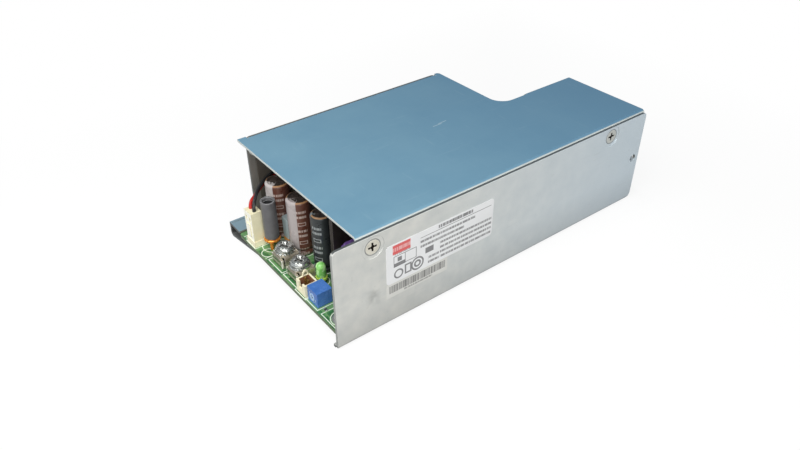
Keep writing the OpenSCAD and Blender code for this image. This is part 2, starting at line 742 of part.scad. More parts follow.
// Transistor package lying against a face at Y = 0, its body towards +Y
module package() difference() {
    union() {
        translate([-package_w / 2, 0, package_lift]) cube([package_w, tab_t, package_h]);
        translate([-package_w / 2, 0, package_lift]) cube([package_w, 4.4, package_h - 6.2]);
        for (x = [-2.54, 0, 2.54]) translate([x - 0.4, 2.2, 0]) cube([0.8, 0.5, package_lift + eps]);
    }
    translate([0, -1, package_lift + package_h - tab_hole_drop]) rotate([-90, 0, 0]) {
        cylinder(h = 6, r = tab_hole_r);
    }
}

module output_rectifier(i) on_board([rectifier_x[i], output_sink[1]]) rotate(180) package();
module output_rectifier_1() color("black") output_rectifier(0);
module output_rectifier_2() color("black") output_rectifier(1);
module output_rectifier_3() color("black") output_rectifier(2);

module switch_transistor(i) on_board([transistor_x[i], primary_sink[1] + heatsink_t]) package();
module switch_transistor_1() color("black") switch_transistor(0);
module switch_transistor_2() color("black") switch_transistor(1);

module bridge_rectifier() color("black") on_board([bridge_x, primary_sink[1] + heatsink_t]) difference() {
    union() {
        translate([-10, 0, package_lift]) cube([20, bridge_t, 18]);
        for (x = [-7.6, -2.54, 2.54, 7.6]) translate([x - 0.5, 1.5, 0]) cube([1, 0.6, package_lift + eps]);
    }
    translate([0, -1, package_lift + package_h - tab_hole_drop]) rotate([-90, 0, 0]) {
        cylinder(h = 6, r = tab_hole_r);
    }
    translate([10, 5, package_lift + 18]) rotate([90, 0, 0]) cylinder(h = 6, r = 2, $fn = 4);
}

module heatsink_screws() color("silver") {
    lift = package_lift + package_h - tab_hole_drop;
    sink_y = primary_sink[1] + heatsink_t;
    for (x = rectifier_x) on_board([x, output_sink[1] - tab_t], lift) rotate([90, 0, 0]) sink_screw(3.2);
    for (x = transistor_x) on_board([x, sink_y + tab_t], lift) rotate([-90, 0, 0]) sink_screw(3.2);
    on_board([bridge_x, sink_y + bridge_t], lift) rotate([-90, 0, 0]) sink_screw(5.5);
}

module sink_screw(length) pan_screw(length, 2.8, 2, m3_r);

// Toroid standing on edge, its axis along X
module in_toroid() on_board(toroid_at, toroid_lift) rotate([0, 90, 0]) children();

module toroid_core() color("olivedrab") in_toroid() rotate_extrude($fn = 64) {
    translate([toroid_r * 0.55, -toroid_t / 2 + 1]) round_rect(toroid_r * 0.45, toroid_t - 2, 0.6);
}

module toroid_winding() color("mediumpurple") {
    turns = 15;
    inner = toroid_r * 0.55;
    depth = toroid_r * 0.45;
    in_toroid() for (i = [0:turns - 1]) rotate(35 + i * 290 / (turns - 1)) {
        // one turn of wire, a square ring round the core's section
        rotate([90, 0, 0]) linear_extrude(1.2, center = true) difference() {
            translate([inner - 1.4, -toroid_t / 2 - 0.4]) round_rect(depth + 2.4, toroid_t + 0.8, 1.2);
            translate([inner - 0.12, 1 - toroid_t / 2]) square([depth + 0.14, toroid_t - 2]);
        }
    }
    // ends of the wire, down to the board
    for (y = [-5.8, 5.8]) on_board(toroid_at + [0, y]) cylinder(h = 5.5, r = 0.55);
}

// Transformer: two core halves, a bobbin with its flanges and a taped coil
module in_transformer() on_board(transformer_at) children();

module transformer_core() color("dimgray") in_transformer() {
    w = 31;
    d = 27;
    h = 27;
    translate([0, 0, 1.6]) {
        for (x = [-1, 1]) translate([x * (w / 2 - 3) - 3, -d / 2, 0]) cube([6, d, h]);
        for (z = [0, h - 5.4]) translate([-w / 2, -d / 2, z]) cube([w, d, 5.4]);
        cylinder(h = h, r = 5.6);
    }
}

module transformer_bobbin() color("black") in_transformer() translate([0, 0, 1.6 + 5.4]) {
    difference() {
        union() {
            for (z = [0, 14.9]) translate([-9.3, -15.6, z]) cube([18.6, 31.2, 1.1]);
            cylinder(h = 16, r = 6.8);
        }
        translate([0, 0, -1]) cylinder(h = 20, r = 5.7);
    }
    // pin rails on each side, standing on the board
    for (y = [-1, 1]) translate([-9.3, y * 17 - 3, -7]) difference() {
        cube([18.6, 6, 8.1]);
        translate([-1, y > 0 ? -1 : 1.4, -1]) cube([21, 5.6, 7]);
    }
}

module transformer_coil() color("gold") in_transformer() translate([0, 0, 1.6 + 6.5]) difference() {
    intersection() {
        cylinder(h = 13.6, r = 13.4, $fn = 64);
        translate([-9.1, -20, 0]) cube([18.2, 40, 20]);
    }
    translate([0, 0, -1]) cylinder(h = 20, r = 6.9);
}

// Control board standing on edge across the supply, with its small parts
module control_board() color("darkgreen") on_board([63.4, 30.5]) {
    difference() {
        translate([0, 0, 0]) cube([1.2, 24, 26]);
        translate([-1, 3, -1]) cube([4, 18, 2]);
    }
    for (s = [[4, 15, 9, 5], [15, 17, 5, 4], [4, 6, 5, 4], [12, 6, 8, 5]]) {
        translate([-1.5, s[0], s[1]]) cube([1.5 + eps, s[2], s[3]]);
    }
}

module bulk_capacitor(i) on_board(bulk_caps[i]) can_capacitor(bulk_cap_r, bulk_cap_h);
module bulk_capacitor_1() color("midnightblue") bulk_capacitor(0);
module bulk_capacitor_2() color("midnightblue") bulk_capacitor(1);

// Choke of the power factor stage
module pfc_choke_core() color("dimgray") on_board(pfc_at, 1) {
    for (x = [-1, 1]) translate([x * 10 - 3, -11, 0]) cube([6, 22, 24]);
    for (z = [0, 19.4]) translate([-13, -11, z]) cube([26, 22, 4.6]);
    cylinder(h = 24, r = 4.6);
    for (x = [-1, 1], y = [-1, 1]) translate([x * 11 - 1, y * 9 - 1, -1]) cube([2, 2, 1 + eps]);
}

module pfc_choke_coil() color("orange") on_board(pfc_at, 1 + 4.6) difference() {
    intersection() {
        cylinder(h = 14.6, r = 12.6, $fn = 64);
        translate([-6.9, -20, 0]) cube([13.8, 40, 20]);
    }
    translate([0, 0, -1]) cylinder(h = 20, r = 4.7);
}

// Common mode choke: a square loop of ferrite with a coil on each side leg
module emi_choke_core() color("dimgray") on_board(emi_at, 2) difference() {
    translate([-8, -2.5, 0]) cube([16, 5, 17]);
    translate([-4.5, -5, 3.5]) cube([9, 10, 10]);
}

module emi_choke_coils() color("peru") on_board(emi_at, 2) {
    for (x = [-1, 1]) translate([x * 6.25, 0, 3.7]) difference() {
        union() {
            for (z = [0, 4.4, 8.8]) translate([-3.9, -4.7, z]) cube([7.8, 9.4, 0.8]);
            translate([-3.4, -4.2, 0]) cube([6.8, 8.4, 9.6]);
        }
        translate([-1.8, -2.6, -1]) cube([3.6, 5.2, 12]);
    }
    // base that stands on the board
    translate([-9, -5, -2]) difference() {
        cube([18, 10, 2]);
        translate([2, -1, -1]) cube([14, 12, 2]);
    }
}

module x_capacitor() color("gold") on_board(x_cap_at) round_box([17.5, 7.4, 13], 0.6);

module y_capacitors() color("cornflowerblue") for (c = y_caps_at) on_board(c, 1.2) {
    translate([0, 0, 4.2]) rotate([90, 0, 0]) rotate_extrude() {
        polygon([[0, -2], [3.4, -2], [4.2, -1.2], [4.2, 1.2], [3.4, 2], [0, 2]]);
    }
    for (x = [-2.5, 2.5]) translate([x - 0.3, -0.3, -1.2]) cube([0.6, 0.6, 2.6]);
}

module aux_transformer() color("goldenrod") on_board(aux_at) {
    translate([-8, -5.5, 0]) cube([16, 11, 3]);
    translate([-6.5, -4.8, 3 - eps]) cube([13, 9.6, 8]);
    translate([-8, -2.2, 3 - eps]) cube([16, 4.4, 10.4]);
}

// Cartridge fuse in two spring clips
module fuse() color("ivory") on_board(fuse_at, fuse_lift) rotate([-90, 0, 0]) {
    translate([0, 0, 5]) cylinder(h = fuse_l - 10, r = fuse_r - 0.2);
    for (z = [0, fuse_l - 5]) translate([0, 0, z]) cylinder(h = 5, r = fuse_r);
}

module fuse_clips() color("silver") for (y = [0.6, fuse_l - 4.4]) on_board(fuse_at + [0, y]) along_y(0, 3.8) {
    difference() {
        translate([0, fuse_lift]) circle(fuse_r + 0.5);
        translate([0, fuse_lift]) circle(fuse_r + cone_gap);
        translate([-fuse_r * 0.75, fuse_lift]) square([fuse_r * 1.5, 5]);
    }
    translate([-2.2, 0]) square([4.4, 0.6]);
    for (x = [-0.9, 0.4]) translate([x, 0]) square([0.5, fuse_lift - fuse_r - 0.2]);
}

// Mains inlet: a header with a friction wall behind its three pins
module ac_inlet_header() color("ivory") on_board(inlet_at) difference() {
    union() {
        cube([8, 15.8, 3.2]);
        translate([6.9, 0, 0]) cube([1.1, 15.8, 10.4]);
    }
    for (y = [4, 11.8]) translate([7.5, y - 1, 3.4]) cube([2, 2, 10]);
}

module ac_inlet_pins() color("gainsboro") on_board(inlet_at, 3.2) for (y = [1.96 + 0.02, 7.9, 13.82]) {
    translate([3.4, y - 0.57, 0]) cube([1.14, 1.14, 7.4]);
}

chassis();
cover();
case_screws();
insulating_sheet();
board_standoffs();
circuit_board();
board_screws();
fan_header();
fan_plug();
fan_lead_red();
fan_lead_black();
fan_frame();
fan_stator();
fan_rotor();
fan_screws();
rod_choke_coil();
rod_choke_sleeve();
output_capacitor_1();
output_capacitor_2();
output_capacitor_3();
snubber_capacitor();
terminal_bracket_plus();
terminal_bracket_minus();
terminal_screws();
terminal_washers();
signal_header();
signal_pins();
trimmer_body();
trimmer_screw();
led_lens();
led_leads();
output_heatsink();
output_rectifier_1();
output_rectifier_2();
output_rectifier_3();
heatsink_screws();
toroid_core();
toroid_winding();
transformer_core();
transformer_bobbin();
transformer_coil();
control_board();
primary_heatsink();
switch_transistor_1();
switch_transistor_2();
bridge_rectifier();
bulk_capacitor_1();
bulk_capacitor_2();
pfc_choke_core();
pfc_choke_coil();
emi_choke_core();
emi_choke_coils();
x_capacitor();
y_capacitors();
aux_transformer();
fuse();
fuse_clips();
ac_inlet_header();
ac_inlet_pins();
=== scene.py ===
import json
import math
import bpy
from mathutils import Matrix, Vector


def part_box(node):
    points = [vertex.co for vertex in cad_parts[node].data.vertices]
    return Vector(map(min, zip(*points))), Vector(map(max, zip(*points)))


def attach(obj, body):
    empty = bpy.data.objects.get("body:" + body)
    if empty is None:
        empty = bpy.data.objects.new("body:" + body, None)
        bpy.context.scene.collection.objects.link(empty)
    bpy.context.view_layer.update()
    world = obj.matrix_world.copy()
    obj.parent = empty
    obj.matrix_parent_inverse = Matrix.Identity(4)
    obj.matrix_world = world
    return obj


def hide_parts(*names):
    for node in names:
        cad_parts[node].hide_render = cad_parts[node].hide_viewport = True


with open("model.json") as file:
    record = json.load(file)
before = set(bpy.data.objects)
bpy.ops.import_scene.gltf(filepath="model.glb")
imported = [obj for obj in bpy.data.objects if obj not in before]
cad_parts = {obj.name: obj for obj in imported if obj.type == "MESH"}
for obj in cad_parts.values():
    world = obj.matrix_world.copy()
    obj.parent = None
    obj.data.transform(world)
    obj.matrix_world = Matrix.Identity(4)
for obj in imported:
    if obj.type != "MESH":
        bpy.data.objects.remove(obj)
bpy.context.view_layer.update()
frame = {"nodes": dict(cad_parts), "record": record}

MM = 0.001
CORNER = Vector(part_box("chassis")[0])
SUPPLY = "supply"
X, Y, Z = 0, 1, 2
BEYOND = 200  # millimetres, past the part on any side


def at(x, y, z):
    """A point in metres, from millimetres along, across and above the chassis' corner at the open end."""
    return CORNER + Vector((x, y, z)) * MM


def corners_of(name):
    """The two corners of a node's box, in metres."""
    low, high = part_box(name)
    return Vector(low), Vector(high)


def top_of(name):
    """The height of a node's top, in millimetres."""
    return (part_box(name)[1][Z] - CORNER.z) / MM


BOARD_TOP = top_of("circuit_board")
COVER_TOP = top_of("cover")
FAR_WALL = (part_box("chassis")[1][Y] - CORNER.y) / MM


def rgb(red, green, blue):
    """A colour from the values of a colour chart, 0 to 255, as the linear values that Blender wants."""
    def linear(v):
        v = v / 255
        return v / 12.92 if v <= 0.04045 else ((v + 0.055) / 1.055) ** 2.4
    return (linear(red), linear(green), linear(blue), 1.0)


# ---------------------------------------------------------------- shader helpers

def node(tree, kind, inputs=None, **props):
    """Adds a node. An input is given by name or number, as a value or as the socket that feeds it."""
    made = tree.nodes.new(kind)
    for key, value in props.items():
        setattr(made, key, value)
    for key, value in (inputs or {}).items():
        socket = made.inputs[key]
        if isinstance(value, bpy.types.NodeSocket):
            tree.links.new(value, socket)
        else:
            socket.default_value = value
    return made


def maths(tree, operation, a, b=0.0, clamp=False):
    return node(tree, "ShaderNodeMath", {0: a, 1: b}, operation=operation, use_clamp=clamp).outputs[0]


def times(tree, a, b, clamp=False):
    return maths(tree, "MULTIPLY", a, b, clamp)


def plus(tree, a, b, clamp=False):
    return maths(tree, "ADD", a, b, clamp)


def minus(tree, a, b, clamp=False):
    return maths(tree, "SUBTRACT", a, b, clamp)


def below(tree, a, b):
    return maths(tree, "LESS_THAN", a, b)


def above(tree, a, b):
    return maths(tree, "GREATER_THAN", a, b)


def any_of(tree, masks):
    total = masks[0]
    for mask in masks[1:]:
        total = maths(tree, "MAXIMUM", total, mask)
    return total


def vector_maths(tree, operation, a, b=(0, 0, 0)):
    made = node(tree, "ShaderNodeVectorMath", {0: a, 1: b}, operation=operation)
    return made.outputs["Value"] if operation in ("DOT_PRODUCT", "LENGTH") else made.outputs["Vector"]


def split(tree, vector):
    """The X, Y and Z of a vector."""
    return node(tree, "ShaderNodeSeparateXYZ", {0: vector}).outputs


def noise(tree, place, scale, detail, **inputs):
    wanted = {"Vector": place, "Scale": scale, "Detail": detail}
    wanted.update(inputs)
    return node(tree, "ShaderNodeTexNoise", wanted).outputs[0]


def spread(tree, value, low, high, to_low=0.0, to_high=1.0):
    """Maps the values from low to high onto another range, and holds the ends."""
    return node(tree, "ShaderNodeMapRange", {0: value, 1: low, 2: high, 3: to_low, 4: to_high}).outputs[0]


def blend_colour(tree, mask, a, b):
    """Colour a where the mask is 0 and b where it is 1."""
    return node(tree, "ShaderNodeMix", {0: mask, 6: a, 7: b}, data_type="RGBA").outputs[2]


def tint(tree, colour, mask, ink, amount=1.0):
    """Lays ink over a colour where the mask is 1."""
    if amount < 1.0:
        mask = times(tree, mask, amount)
    return blend_colour(tree, mask, colour, ink)


def effect(name, inputs, outputs):
    """Starts a shader group and returns its tree, its inputs and a function that feeds its outputs."""
    tree = bpy.data.node_groups.new(name, "ShaderNodeTree")
    for label, kind, value in inputs:
        socket = tree.interface.new_socket(label, in_out="INPUT", socket_type="NodeSocket" + kind)
        if value is not None:
            socket.default_value = value
    for label, kind in outputs:
        tree.interface.new_socket(label, in_out="OUTPUT", socket_type="NodeSocket" + kind)
    entry = tree.nodes.new("NodeGroupInput")
    leaving = tree.nodes.new("NodeGroupOutput")
    return tree, entry.outputs, lambda label, socket: tree.links.new(socket, leaving.inputs[label])


def use(tree, group, **inputs):
    """Places a shader group with its own values."""
    made = tree.nodes.new("ShaderNodeGroup")
    made.node_tree = group
    for key, value in inputs.items():
        if isinstance(value, bpy.types.NodeSocket):
            tree.links.new(value, made.inputs[key])
        else:
            made.inputs[key].default_value = value
    return made.outputs


# ---------------------------------------------------------------- shared effects

PRINT_EDGE = 0.05 * MM
WEAR_AND_HIGHLIGHT_RADIUS = 0.35 * MM


def fine_line(tree, distance, half):
    """1 where a distance is less than half a line's width, with a fine soft edge."""
    over = minus(tree, maths(tree, "ABSOLUTE", distance), half)
    return minus(tree, 1.0, maths(tree, "DIVIDE", over, PRINT_EDGE), clamp=True)


def make_mottle():
    """Two close colours in soft patches."""
    tree, given, put = effect("mottled_colour", [
        ("Vector", "Vector", None), ("Scale", "Float", 100.0), ("Contrast", "Float", 1.0),
        ("Light", "Color", (1, 1, 1, 1)), ("Dark", "Color", (0.5, 0.5, 0.5, 1))],
        [("Colour", "Color"), ("Mask", "Float")])
    clouds = noise(tree, given["Vector"], given["Scale"], 4.0, Roughness=0.55)
    mask = plus(tree, times(tree, minus(tree, clouds, 0.5), given["Contrast"]), 0.5, clamp=True)
    put("Colour", blend_colour(tree, mask, given["Dark"], given["Light"]))
    put("Mask", mask)
    return tree


def make_grain():
    """Fine surface height."""
    tree, given, put = effect("fine_grain", [
        ("Vector", "Vector", None), ("Scale", "Float", 2000.0)], [("Height", "Float")])
    put("Height", noise(tree, given["Vector"], given["Scale"], 3.0))
    return tree


def make_wear_and_edge_highlight():
    """Where an edge is rubbed bright, and where it gets a painted highlight."""
    tree, given, put = effect("wear_and_edge_highlight", [
        ("Vector", "Vector", None), ("Amount", "Float", 1.0)], [("Mask", "Float")])
    rounded = node(tree, "ShaderNodeBevel", {"Radius": WEAR_AND_HIGHLIGHT_RADIUS}, samples=4).outputs[0]
    flat = node(tree, "ShaderNodeNewGeometry").outputs["Normal"]
    # partly wear, partly painted highlight: lighter where the bevelled normal turns from the face
    turned = minus(tree, 1.0, vector_maths(tree, "DOT_PRODUCT", rounded, flat))
    patchy = spread(tree, noise(tree, given["Vector"], 900.0, 2.0), 0.3, 0.6, 2.0, 9.0)
    put("Mask", times(tree, turned, times(tree, given["Amount"], patchy), clamp=True))
    return tree


def make_rub_marks():
    """Short faint rubs in two directions."""
    tree, given, put = effect("rub_marks", [
        ("Vector", "Vector", None), ("Scale", "Float", 60.0)], [("Mask", "Float")])
    rubs = []
    for stretch in ((1.0, 14.0, 9.0), (11.0, 1.4, 8.0)):
        drawn = vector_maths(tree, "MULTIPLY", given["Vector"], stretch)
        rubs.append(spread(tree, noise(tree, drawn, given["Scale"], 2.0), 0.66, 0.78))
    put("Mask", any_of(tree, rubs))
    return tree


def make_box_mask():
    """1 inside a box of that centre and half size, fading out over Soft, and the distance outside it."""
    tree, given, put = effect("box_mask", [
        ("Vector", "Vector", None), ("Centre", "Vector", (0, 0, 0)), ("Half", "Vector", (1, 1, 1)),
        ("Soft", "Float", PRINT_EDGE)], [("Mask", "Float"), ("Outside", "Float")])
    away = vector_maths(tree, "ABSOLUTE", vector_maths(tree, "SUBTRACT", given["Vector"], given["Centre"]))
    outside = any_of(tree, split(tree, vector_maths(tree, "SUBTRACT", away, given["Half"])))
    put("Mask", minus(tree, 1.0, maths(tree, "DIVIDE", outside, given["Soft"]), clamp=True))
    put("Outside", outside)
    return tree


def make_print_rows():
    """Rows of short strokes that stand for small print, without letters. The rows run along Vector's X."""
    tree, given, put = effect("print_rows", [
        ("Vector", "Vector", None), ("Pitch", "Float", 2 * MM), ("Fill", "Float", 0.6)], [("Mask", "Float")])
    place = split(tree, given["Vector"])
    step = maths(tree, "DIVIDE", place[Y], given["Pitch"])
    inside = maths(tree, "FRACT", step)
    in_row = times(tree, above(tree, inside, 0.26), below(tree, inside, 0.74))
    row = times(tree, maths(tree, "FLOOR", step), 0.37)
    line = node(tree, "ShaderNodeCombineXYZ", {X: place[X], Y: row}).outputs[0]
    words = above(tree, noise(tree, line, 300.0, 0.0), minus(tree, 1.0, given["Fill"]))
    strokes = spread(tree, noise(tree, line, 2200.0, 0.0), 0.32, 0.5)
    put("Mask", times(tree, times(tree, words, strokes), in_row))
    return tree


def make_ring():
    """A ring round a centre. Axes holds 1 for the two axes of its plane and 0 for the third."""
    tree, given, put = effect("ring_mask", [
        ("Vector", "Vector", None), ("Centre", "Vector", (0, 0, 0)), ("Axes", "Vector", (1, 1, 0)),
        ("Radius", "Float", 2 * MM), ("Width", "Float", 0.3 * MM)], [("Mask", "Float")])
    away = vector_maths(tree, "SUBTRACT", given["Vector"], given["Centre"])
    reach = vector_maths(tree, "LENGTH", vector_maths(tree, "MULTIPLY", away, given["Axes"]))
    put("Mask", fine_line(tree, minus(tree, reach, given["Radius"]), times(tree, given["Width"], 0.5)))
    return tree


def can_print(tree, angle, level, radius):
    """Print in one column on a capacitor: outlined blocks and short rows of strokes, by turns."""
    cell = 4.4 * MM
    column = times(tree, minus(tree, angle, 1.02), radius)
    step = maths(tree, "DIVIDE", level, cell)
    in_cell = times(tree, minus(tree, maths(tree, "FRACT", step), 0.5), cell)
    across = minus(tree, maths(tree, "ABSOLUTE", column), 1.5 * MM)
    upright = minus(tree, maths(tree, "ABSOLUTE", in_cell), 0.65 * MM)
    outline = below(tree, maths(tree, "ABSOLUTE", any_of(tree, (across, upright))), 0.16 * MM)
    place = node(tree, "ShaderNodeCombineXYZ", {X: column, Y: level}).outputs[0]
    rows = use(tree, PRINT_ROWS, Vector=place, Pitch=cell / 2, Fill=0.75)["Mask"]
    rows = times(tree, rows, below(tree, maths(tree, "ABSOLUTE", column), 2 * MM))
    odd = above(tree, maths(tree, "FRACT", times(tree, step, 0.5)), 0.5)
    return node(tree, "ShaderNodeMix", {0: odd, 2: rows, 3: outline}).outputs[0]


def make_can_sleeve():
    """Masks for a capacitor: its sleeve's stripe, print and rim, and the metal top inside the torn fold."""
    tree, given, put = effect("can_sleeve", [
        ("Vector", "Vector", None), ("Centre", "Vector", (0, 0, 0)), ("Radius", "Float", 5 * MM),
        ("Height", "Float", 25 * MM), ("Stripe", "Float", 3.2), ("Half", "Float", 0.6)],
        [("Stripe", "Float"), ("Print", "Float"), ("Rim", "Float"), ("Metal", "Float")])
    fold_width = 0.7 * MM
    x, y, z = split(tree, vector_maths(tree, "SUBTRACT", given["Vector"], given["Centre"]))
    reach = maths(tree, "SQRT", plus(tree, times(tree, x, x), times(tree, y, y)))
    turn = minus(tree, maths(tree, "ARCTAN2", y, x), given["Stripe"])
    angle = node(tree, "ShaderNodeMath", {0: turn, 1: math.pi, 2: -math.pi}, operation="WRAP").outputs[0]
    from_top = minus(tree, given["Height"], z)
    inward = minus(tree, given["Radius"], reach)
    stripe = spread(tree, minus(tree, given["Half"], maths(tree, "ABSOLUTE", angle)), 0.0, 0.03)
    torn = spread(tree, noise(tree, given["Vector"], 1100.0, 1.0), 0.35, 0.65, 0.4 * MM, 3.2 * MM)
    fold = plus(tree, times(tree, stripe, torn), fold_width)
    side = times(tree, above(tree, from_top, 2.5 * MM), below(tree, inward, 0.6 * MM))
    put("Stripe", stripe)
    put("Print", times(tree, can_print(tree, angle, z, given["Radius"]), side))
    put("Rim", times(tree, below(tree, from_top, 0.5 * MM), below(tree, inward, fold_width)))
    put("Metal", times(tree, below(tree, from_top, 0.9 * MM), above(tree, inward, fold)))
    return tree


MOTTLE = make_mottle()
GRAIN = make_grain()
WEAR_AND_EDGE_HIGHLIGHT = make_wear_and_edge_highlight()
RUBS = make_rub_marks()
BOX_MASK = make_box_mask()
PRINT_ROWS = make_print_rows()
RING = make_ring()
CAN_SLEEVE = make_can_sleeve()


# ---------------------------------------------------------------- masks on the object

def facing(tree, axis):
    """The surface normal's share along X, Y or Z."""
    return split(tree, node(tree, "ShaderNodeTexCoord").outputs["Normal"])[axis]


def upward(tree):
    """1 on faces that look up."""
    return spread(tree, facing(tree, Z), 0.6, 0.8)


def towards_open_end(tree):
    """1 on faces that look out of the open end."""
    return spread(tree, facing(tree, X), -0.6, -0.9)


def ramp(tree, place, axis, start, end):
    """From 0 to 1 between two places along an axis, in millimetres."""
    return spread(tree, split(tree, place)[axis], CORNER[axis] + start * MM, CORNER[axis] + end * MM)


def box_mask(tree, place, low, high, soft=0.05):
    """Mask of a box given by two corners in metres, with a soft edge in millimetres."""
    return use(tree, BOX_MASK, Vector=place, Centre=(low + high) / 2, Half=(high - low) / 2,
               Soft=soft * MM)["Mask"]


def box_distance(tree, place, low, high):
    """How far a place is outside a box, in metres, and less than 0 inside it."""
    return use(tree, BOX_MASK, Vector=place, Centre=(low + high) / 2, Half=(high - low) / 2)["Outside"]


def box_line(tree, place, low, high, width):
    """Mask of a line along a box's outline."""
    return fine_line(tree, box_distance(tree, place, low, high), width * MM / 2)


def slab(tree, place, axis, start, end, soft=0.05):
    """Mask between two places along an axis, in millimetres."""
    low = [-BEYOND] * 3
    high = [BEYOND] * 3
    low[axis] = start
    high[axis] = end
    return box_mask(tree, place, at(*low), at(*high), soft)


def ring_mask(tree, place, centre, radius, width, axes=(1, 1, 0)):
    return use(tree, RING, Vector=place, Centre=centre, Axes=axes, Radius=radius * MM,
               Width=width * MM)["Mask"]


def finish(name, light, dark, patch=300.0, contrast=1.6, rough=0.45, rough_spread=0.1, metallic=0.0,
           grain=2500.0, bump=0.1, depth=0.02, edge=None, edge_amount=0.0, soften=0.12, paint=None):
    """A finished material: patchy colour, uneven gloss, fine grain, softened edges, and rubbed edges with a
    painted edge highlight.

    paint(tree, place, colour, gloss, shine) may change colour, roughness and metallic, and returns the three.
    """
    made = bpy.data.materials.new(name)
    made.use_nodes = True
    tree = made.node_tree
    tree.nodes.clear()
    place = node(tree, "ShaderNodeTexCoord").outputs["Object"]
    patches = use(tree, MOTTLE, Vector=place, Scale=patch, Contrast=contrast, Light=light, Dark=dark)
    colour = patches["Colour"]
    gloss = spread(tree, patches["Mask"], 0.0, 1.0, rough - rough_spread, rough + rough_spread)
    shine = metallic
    if edge:
        # the edge colour is partly wear and partly a painted edge highlight
        colour = tint(tree, colour, use(tree, WEAR_AND_EDGE_HIGHLIGHT, Vector=place, Amount=edge_amount)["Mask"], edge)
    if paint:
        colour, gloss, shine = paint(tree, place, colour, gloss, shine)
    height = use(tree, GRAIN, Vector=place, Scale=grain)["Height"]
    soft = node(tree, "ShaderNodeBevel", {"Radius": soften * MM}, samples=4).outputs[0]
    relief = node(tree, "ShaderNodeBump", {"Strength": bump, "Distance": depth * MM, "Height": height,
                                           "Normal": soft}).outputs[0]
    shader = node(tree, "ShaderNodeBsdfPrincipled", {"Base Color": colour, "Roughness": gloss,
                                                     "Metallic": shine, "Normal": relief})
    node(tree, "ShaderNodeOutputMaterial", {0: shader.outputs[0]})
    return made


# ---------------------------------------------------------------- sheet metal and its screws

WALL_LIGHT = rgb(224, 224, 219)
WALL_DARK = rgb(200, 203, 201)
# painted shade colour: the walls' cooler, slightly darker tone towards the fan end
WALL_PAINTED_COOL_SHADE = rgb(206, 222, 234)
BLUE_LIGHT = rgb(122, 162, 183)
BLUE_DARK = rgb(104, 147, 173)
# painted shade colour: the cover's blue towards the fan end
BLUE_PAINTED_SHADE = rgb(90, 133, 164)
# bare metal at the cover's edges, partly a painted highlight along its fold
BARE_EDGE_AND_HIGHLIGHT = rgb(226, 236, 234)
# painted shade colour: the shadow rings round the case screws and the darkening towards the walls' foot
PAINTED_SHADE_DARK = rgb(58, 58, 56)
# In millimetres: x, z of the screws on both walls, and x, y of the scratches with a turn in degrees.
WALL_SCREWS = [(16.1, 38.2), (136.8, 38.8)]
FAR_SCREWS = [(22, 38.2), (106, 38.2)]
SCREW_HEAD_R = 2.9
SCREW_SINK = 0.2
LEDGE = (at(0, 76, 5.5), at(14.5, 90, 7))
LEDGE_CHANNEL = (at(-BEYOND, 74, 0.9), at(15, FAR_WALL - 0.9, 5.6))
CASE_INSIDE = (at(-BEYOND, 3, 1.5), at(BEYOND, FAR_WALL - 0.9, BEYOND))
PLAIN_WALL = (at(-BEYOND, -1, 1.5), at(BEYOND, 3, BEYOND))
WALL_TOPS = (at(-BEYOND, 0.3, COVER_TOP - 2), at(BEYOND, FAR_WALL - 0.3, BEYOND))
SMUDGE = (at(15.2, -1, 15.2), at(15.9, 1, 17.6))
SCRATCHES = [(81.0, 44.9, 0), (84.2, 45.6, 4)]
SCRATCH_HALF = (2.2 * MM, 0.08 * MM, 1)


def scratch(tree, place, x, y, turn):
    """A short fine scratch on an upward face, turned by that many degrees."""
    centred = vector_maths(tree, "SUBTRACT", place, at(x, y, 0))
    turned = node(tree, "ShaderNodeMapping", {"Vector": centred, "Rotation": (0, 0, math.radians(-turn))})
    return use(tree, BOX_MASK, Vector=turned.outputs[0], Half=SCRATCH_HALF, Soft=0.15 * MM)["Mask"]


def paint_cover(tree, place, colour, gloss, shine):
    """The cover's outer face is blue, with painted shade that darkens it towards the fan. Its cut edges and
    flanges are bare.
    """
    mottle = use(tree, MOTTLE, Vector=place, Scale=40.0, Contrast=1.5, Light=BLUE_LIGHT, Dark=BLUE_DARK)
    blue = mottle["Colour"]
    # painted shade: the blue darkens towards the fan end, standing in for the light falling off there
    blue = tint(tree, blue, ramp(tree, place, X, 20, 150), BLUE_PAINTED_SHADE, 0.75)
    blue = tint(tree, blue, use(tree, RUBS, Vector=place, Scale=55.0)["Mask"], rgb(170, 195, 205), 0.08)
    for x, y, turn in SCRATCHES:
        blue = tint(tree, blue, scratch(tree, place, x, y, turn), rgb(196, 214, 220), 0.6)
    face = slab(tree, place, Z, COVER_TOP - 0.5, COVER_TOP + 1, 0.1)
    face = times(tree, face, upward(tree))
    return tint(tree, colour, face, blue), plus(tree, gloss, times(tree, face, 0.05)), shine


def wall_marks(tree, place, colour):
    """Rubs all over, a smudge near the open end, and a painted shadow ring round each case screw, for the
    shade its recess casts.
    """
    colour = tint(tree, colour, use(tree, RUBS, Vector=place, Scale=70.0)["Mask"], rgb(160, 162, 160), 0.14)
    cloud = spread(tree, noise(tree, place, 260.0, 2.0), 0.35, 0.65, 0.0, 0.5)
    colour = tint(tree, colour, times(tree, box_mask(tree, place, *SMUDGE, 3.0), cloud), rgb(130, 132, 130))
    for y, screws in ((0, WALL_SCREWS), (FAR_WALL, FAR_SCREWS)):
        # painted shadow: a dark ring round each screw head, where its recess shades the wall
        screw_shadow_rings = [ring_mask(tree, place, at(x, 0, z), SCREW_HEAD_R + 0.2, 0.4, (1, 0, 1)) for x, z in screws]
        skin = slab(tree, place, Y, y - 0.6, y + 0.6)
        colour = tint(tree, colour, times(tree, any_of(tree, screw_shadow_rings), skin), PAINTED_SHADE_DARK, 0.55)
    return colour


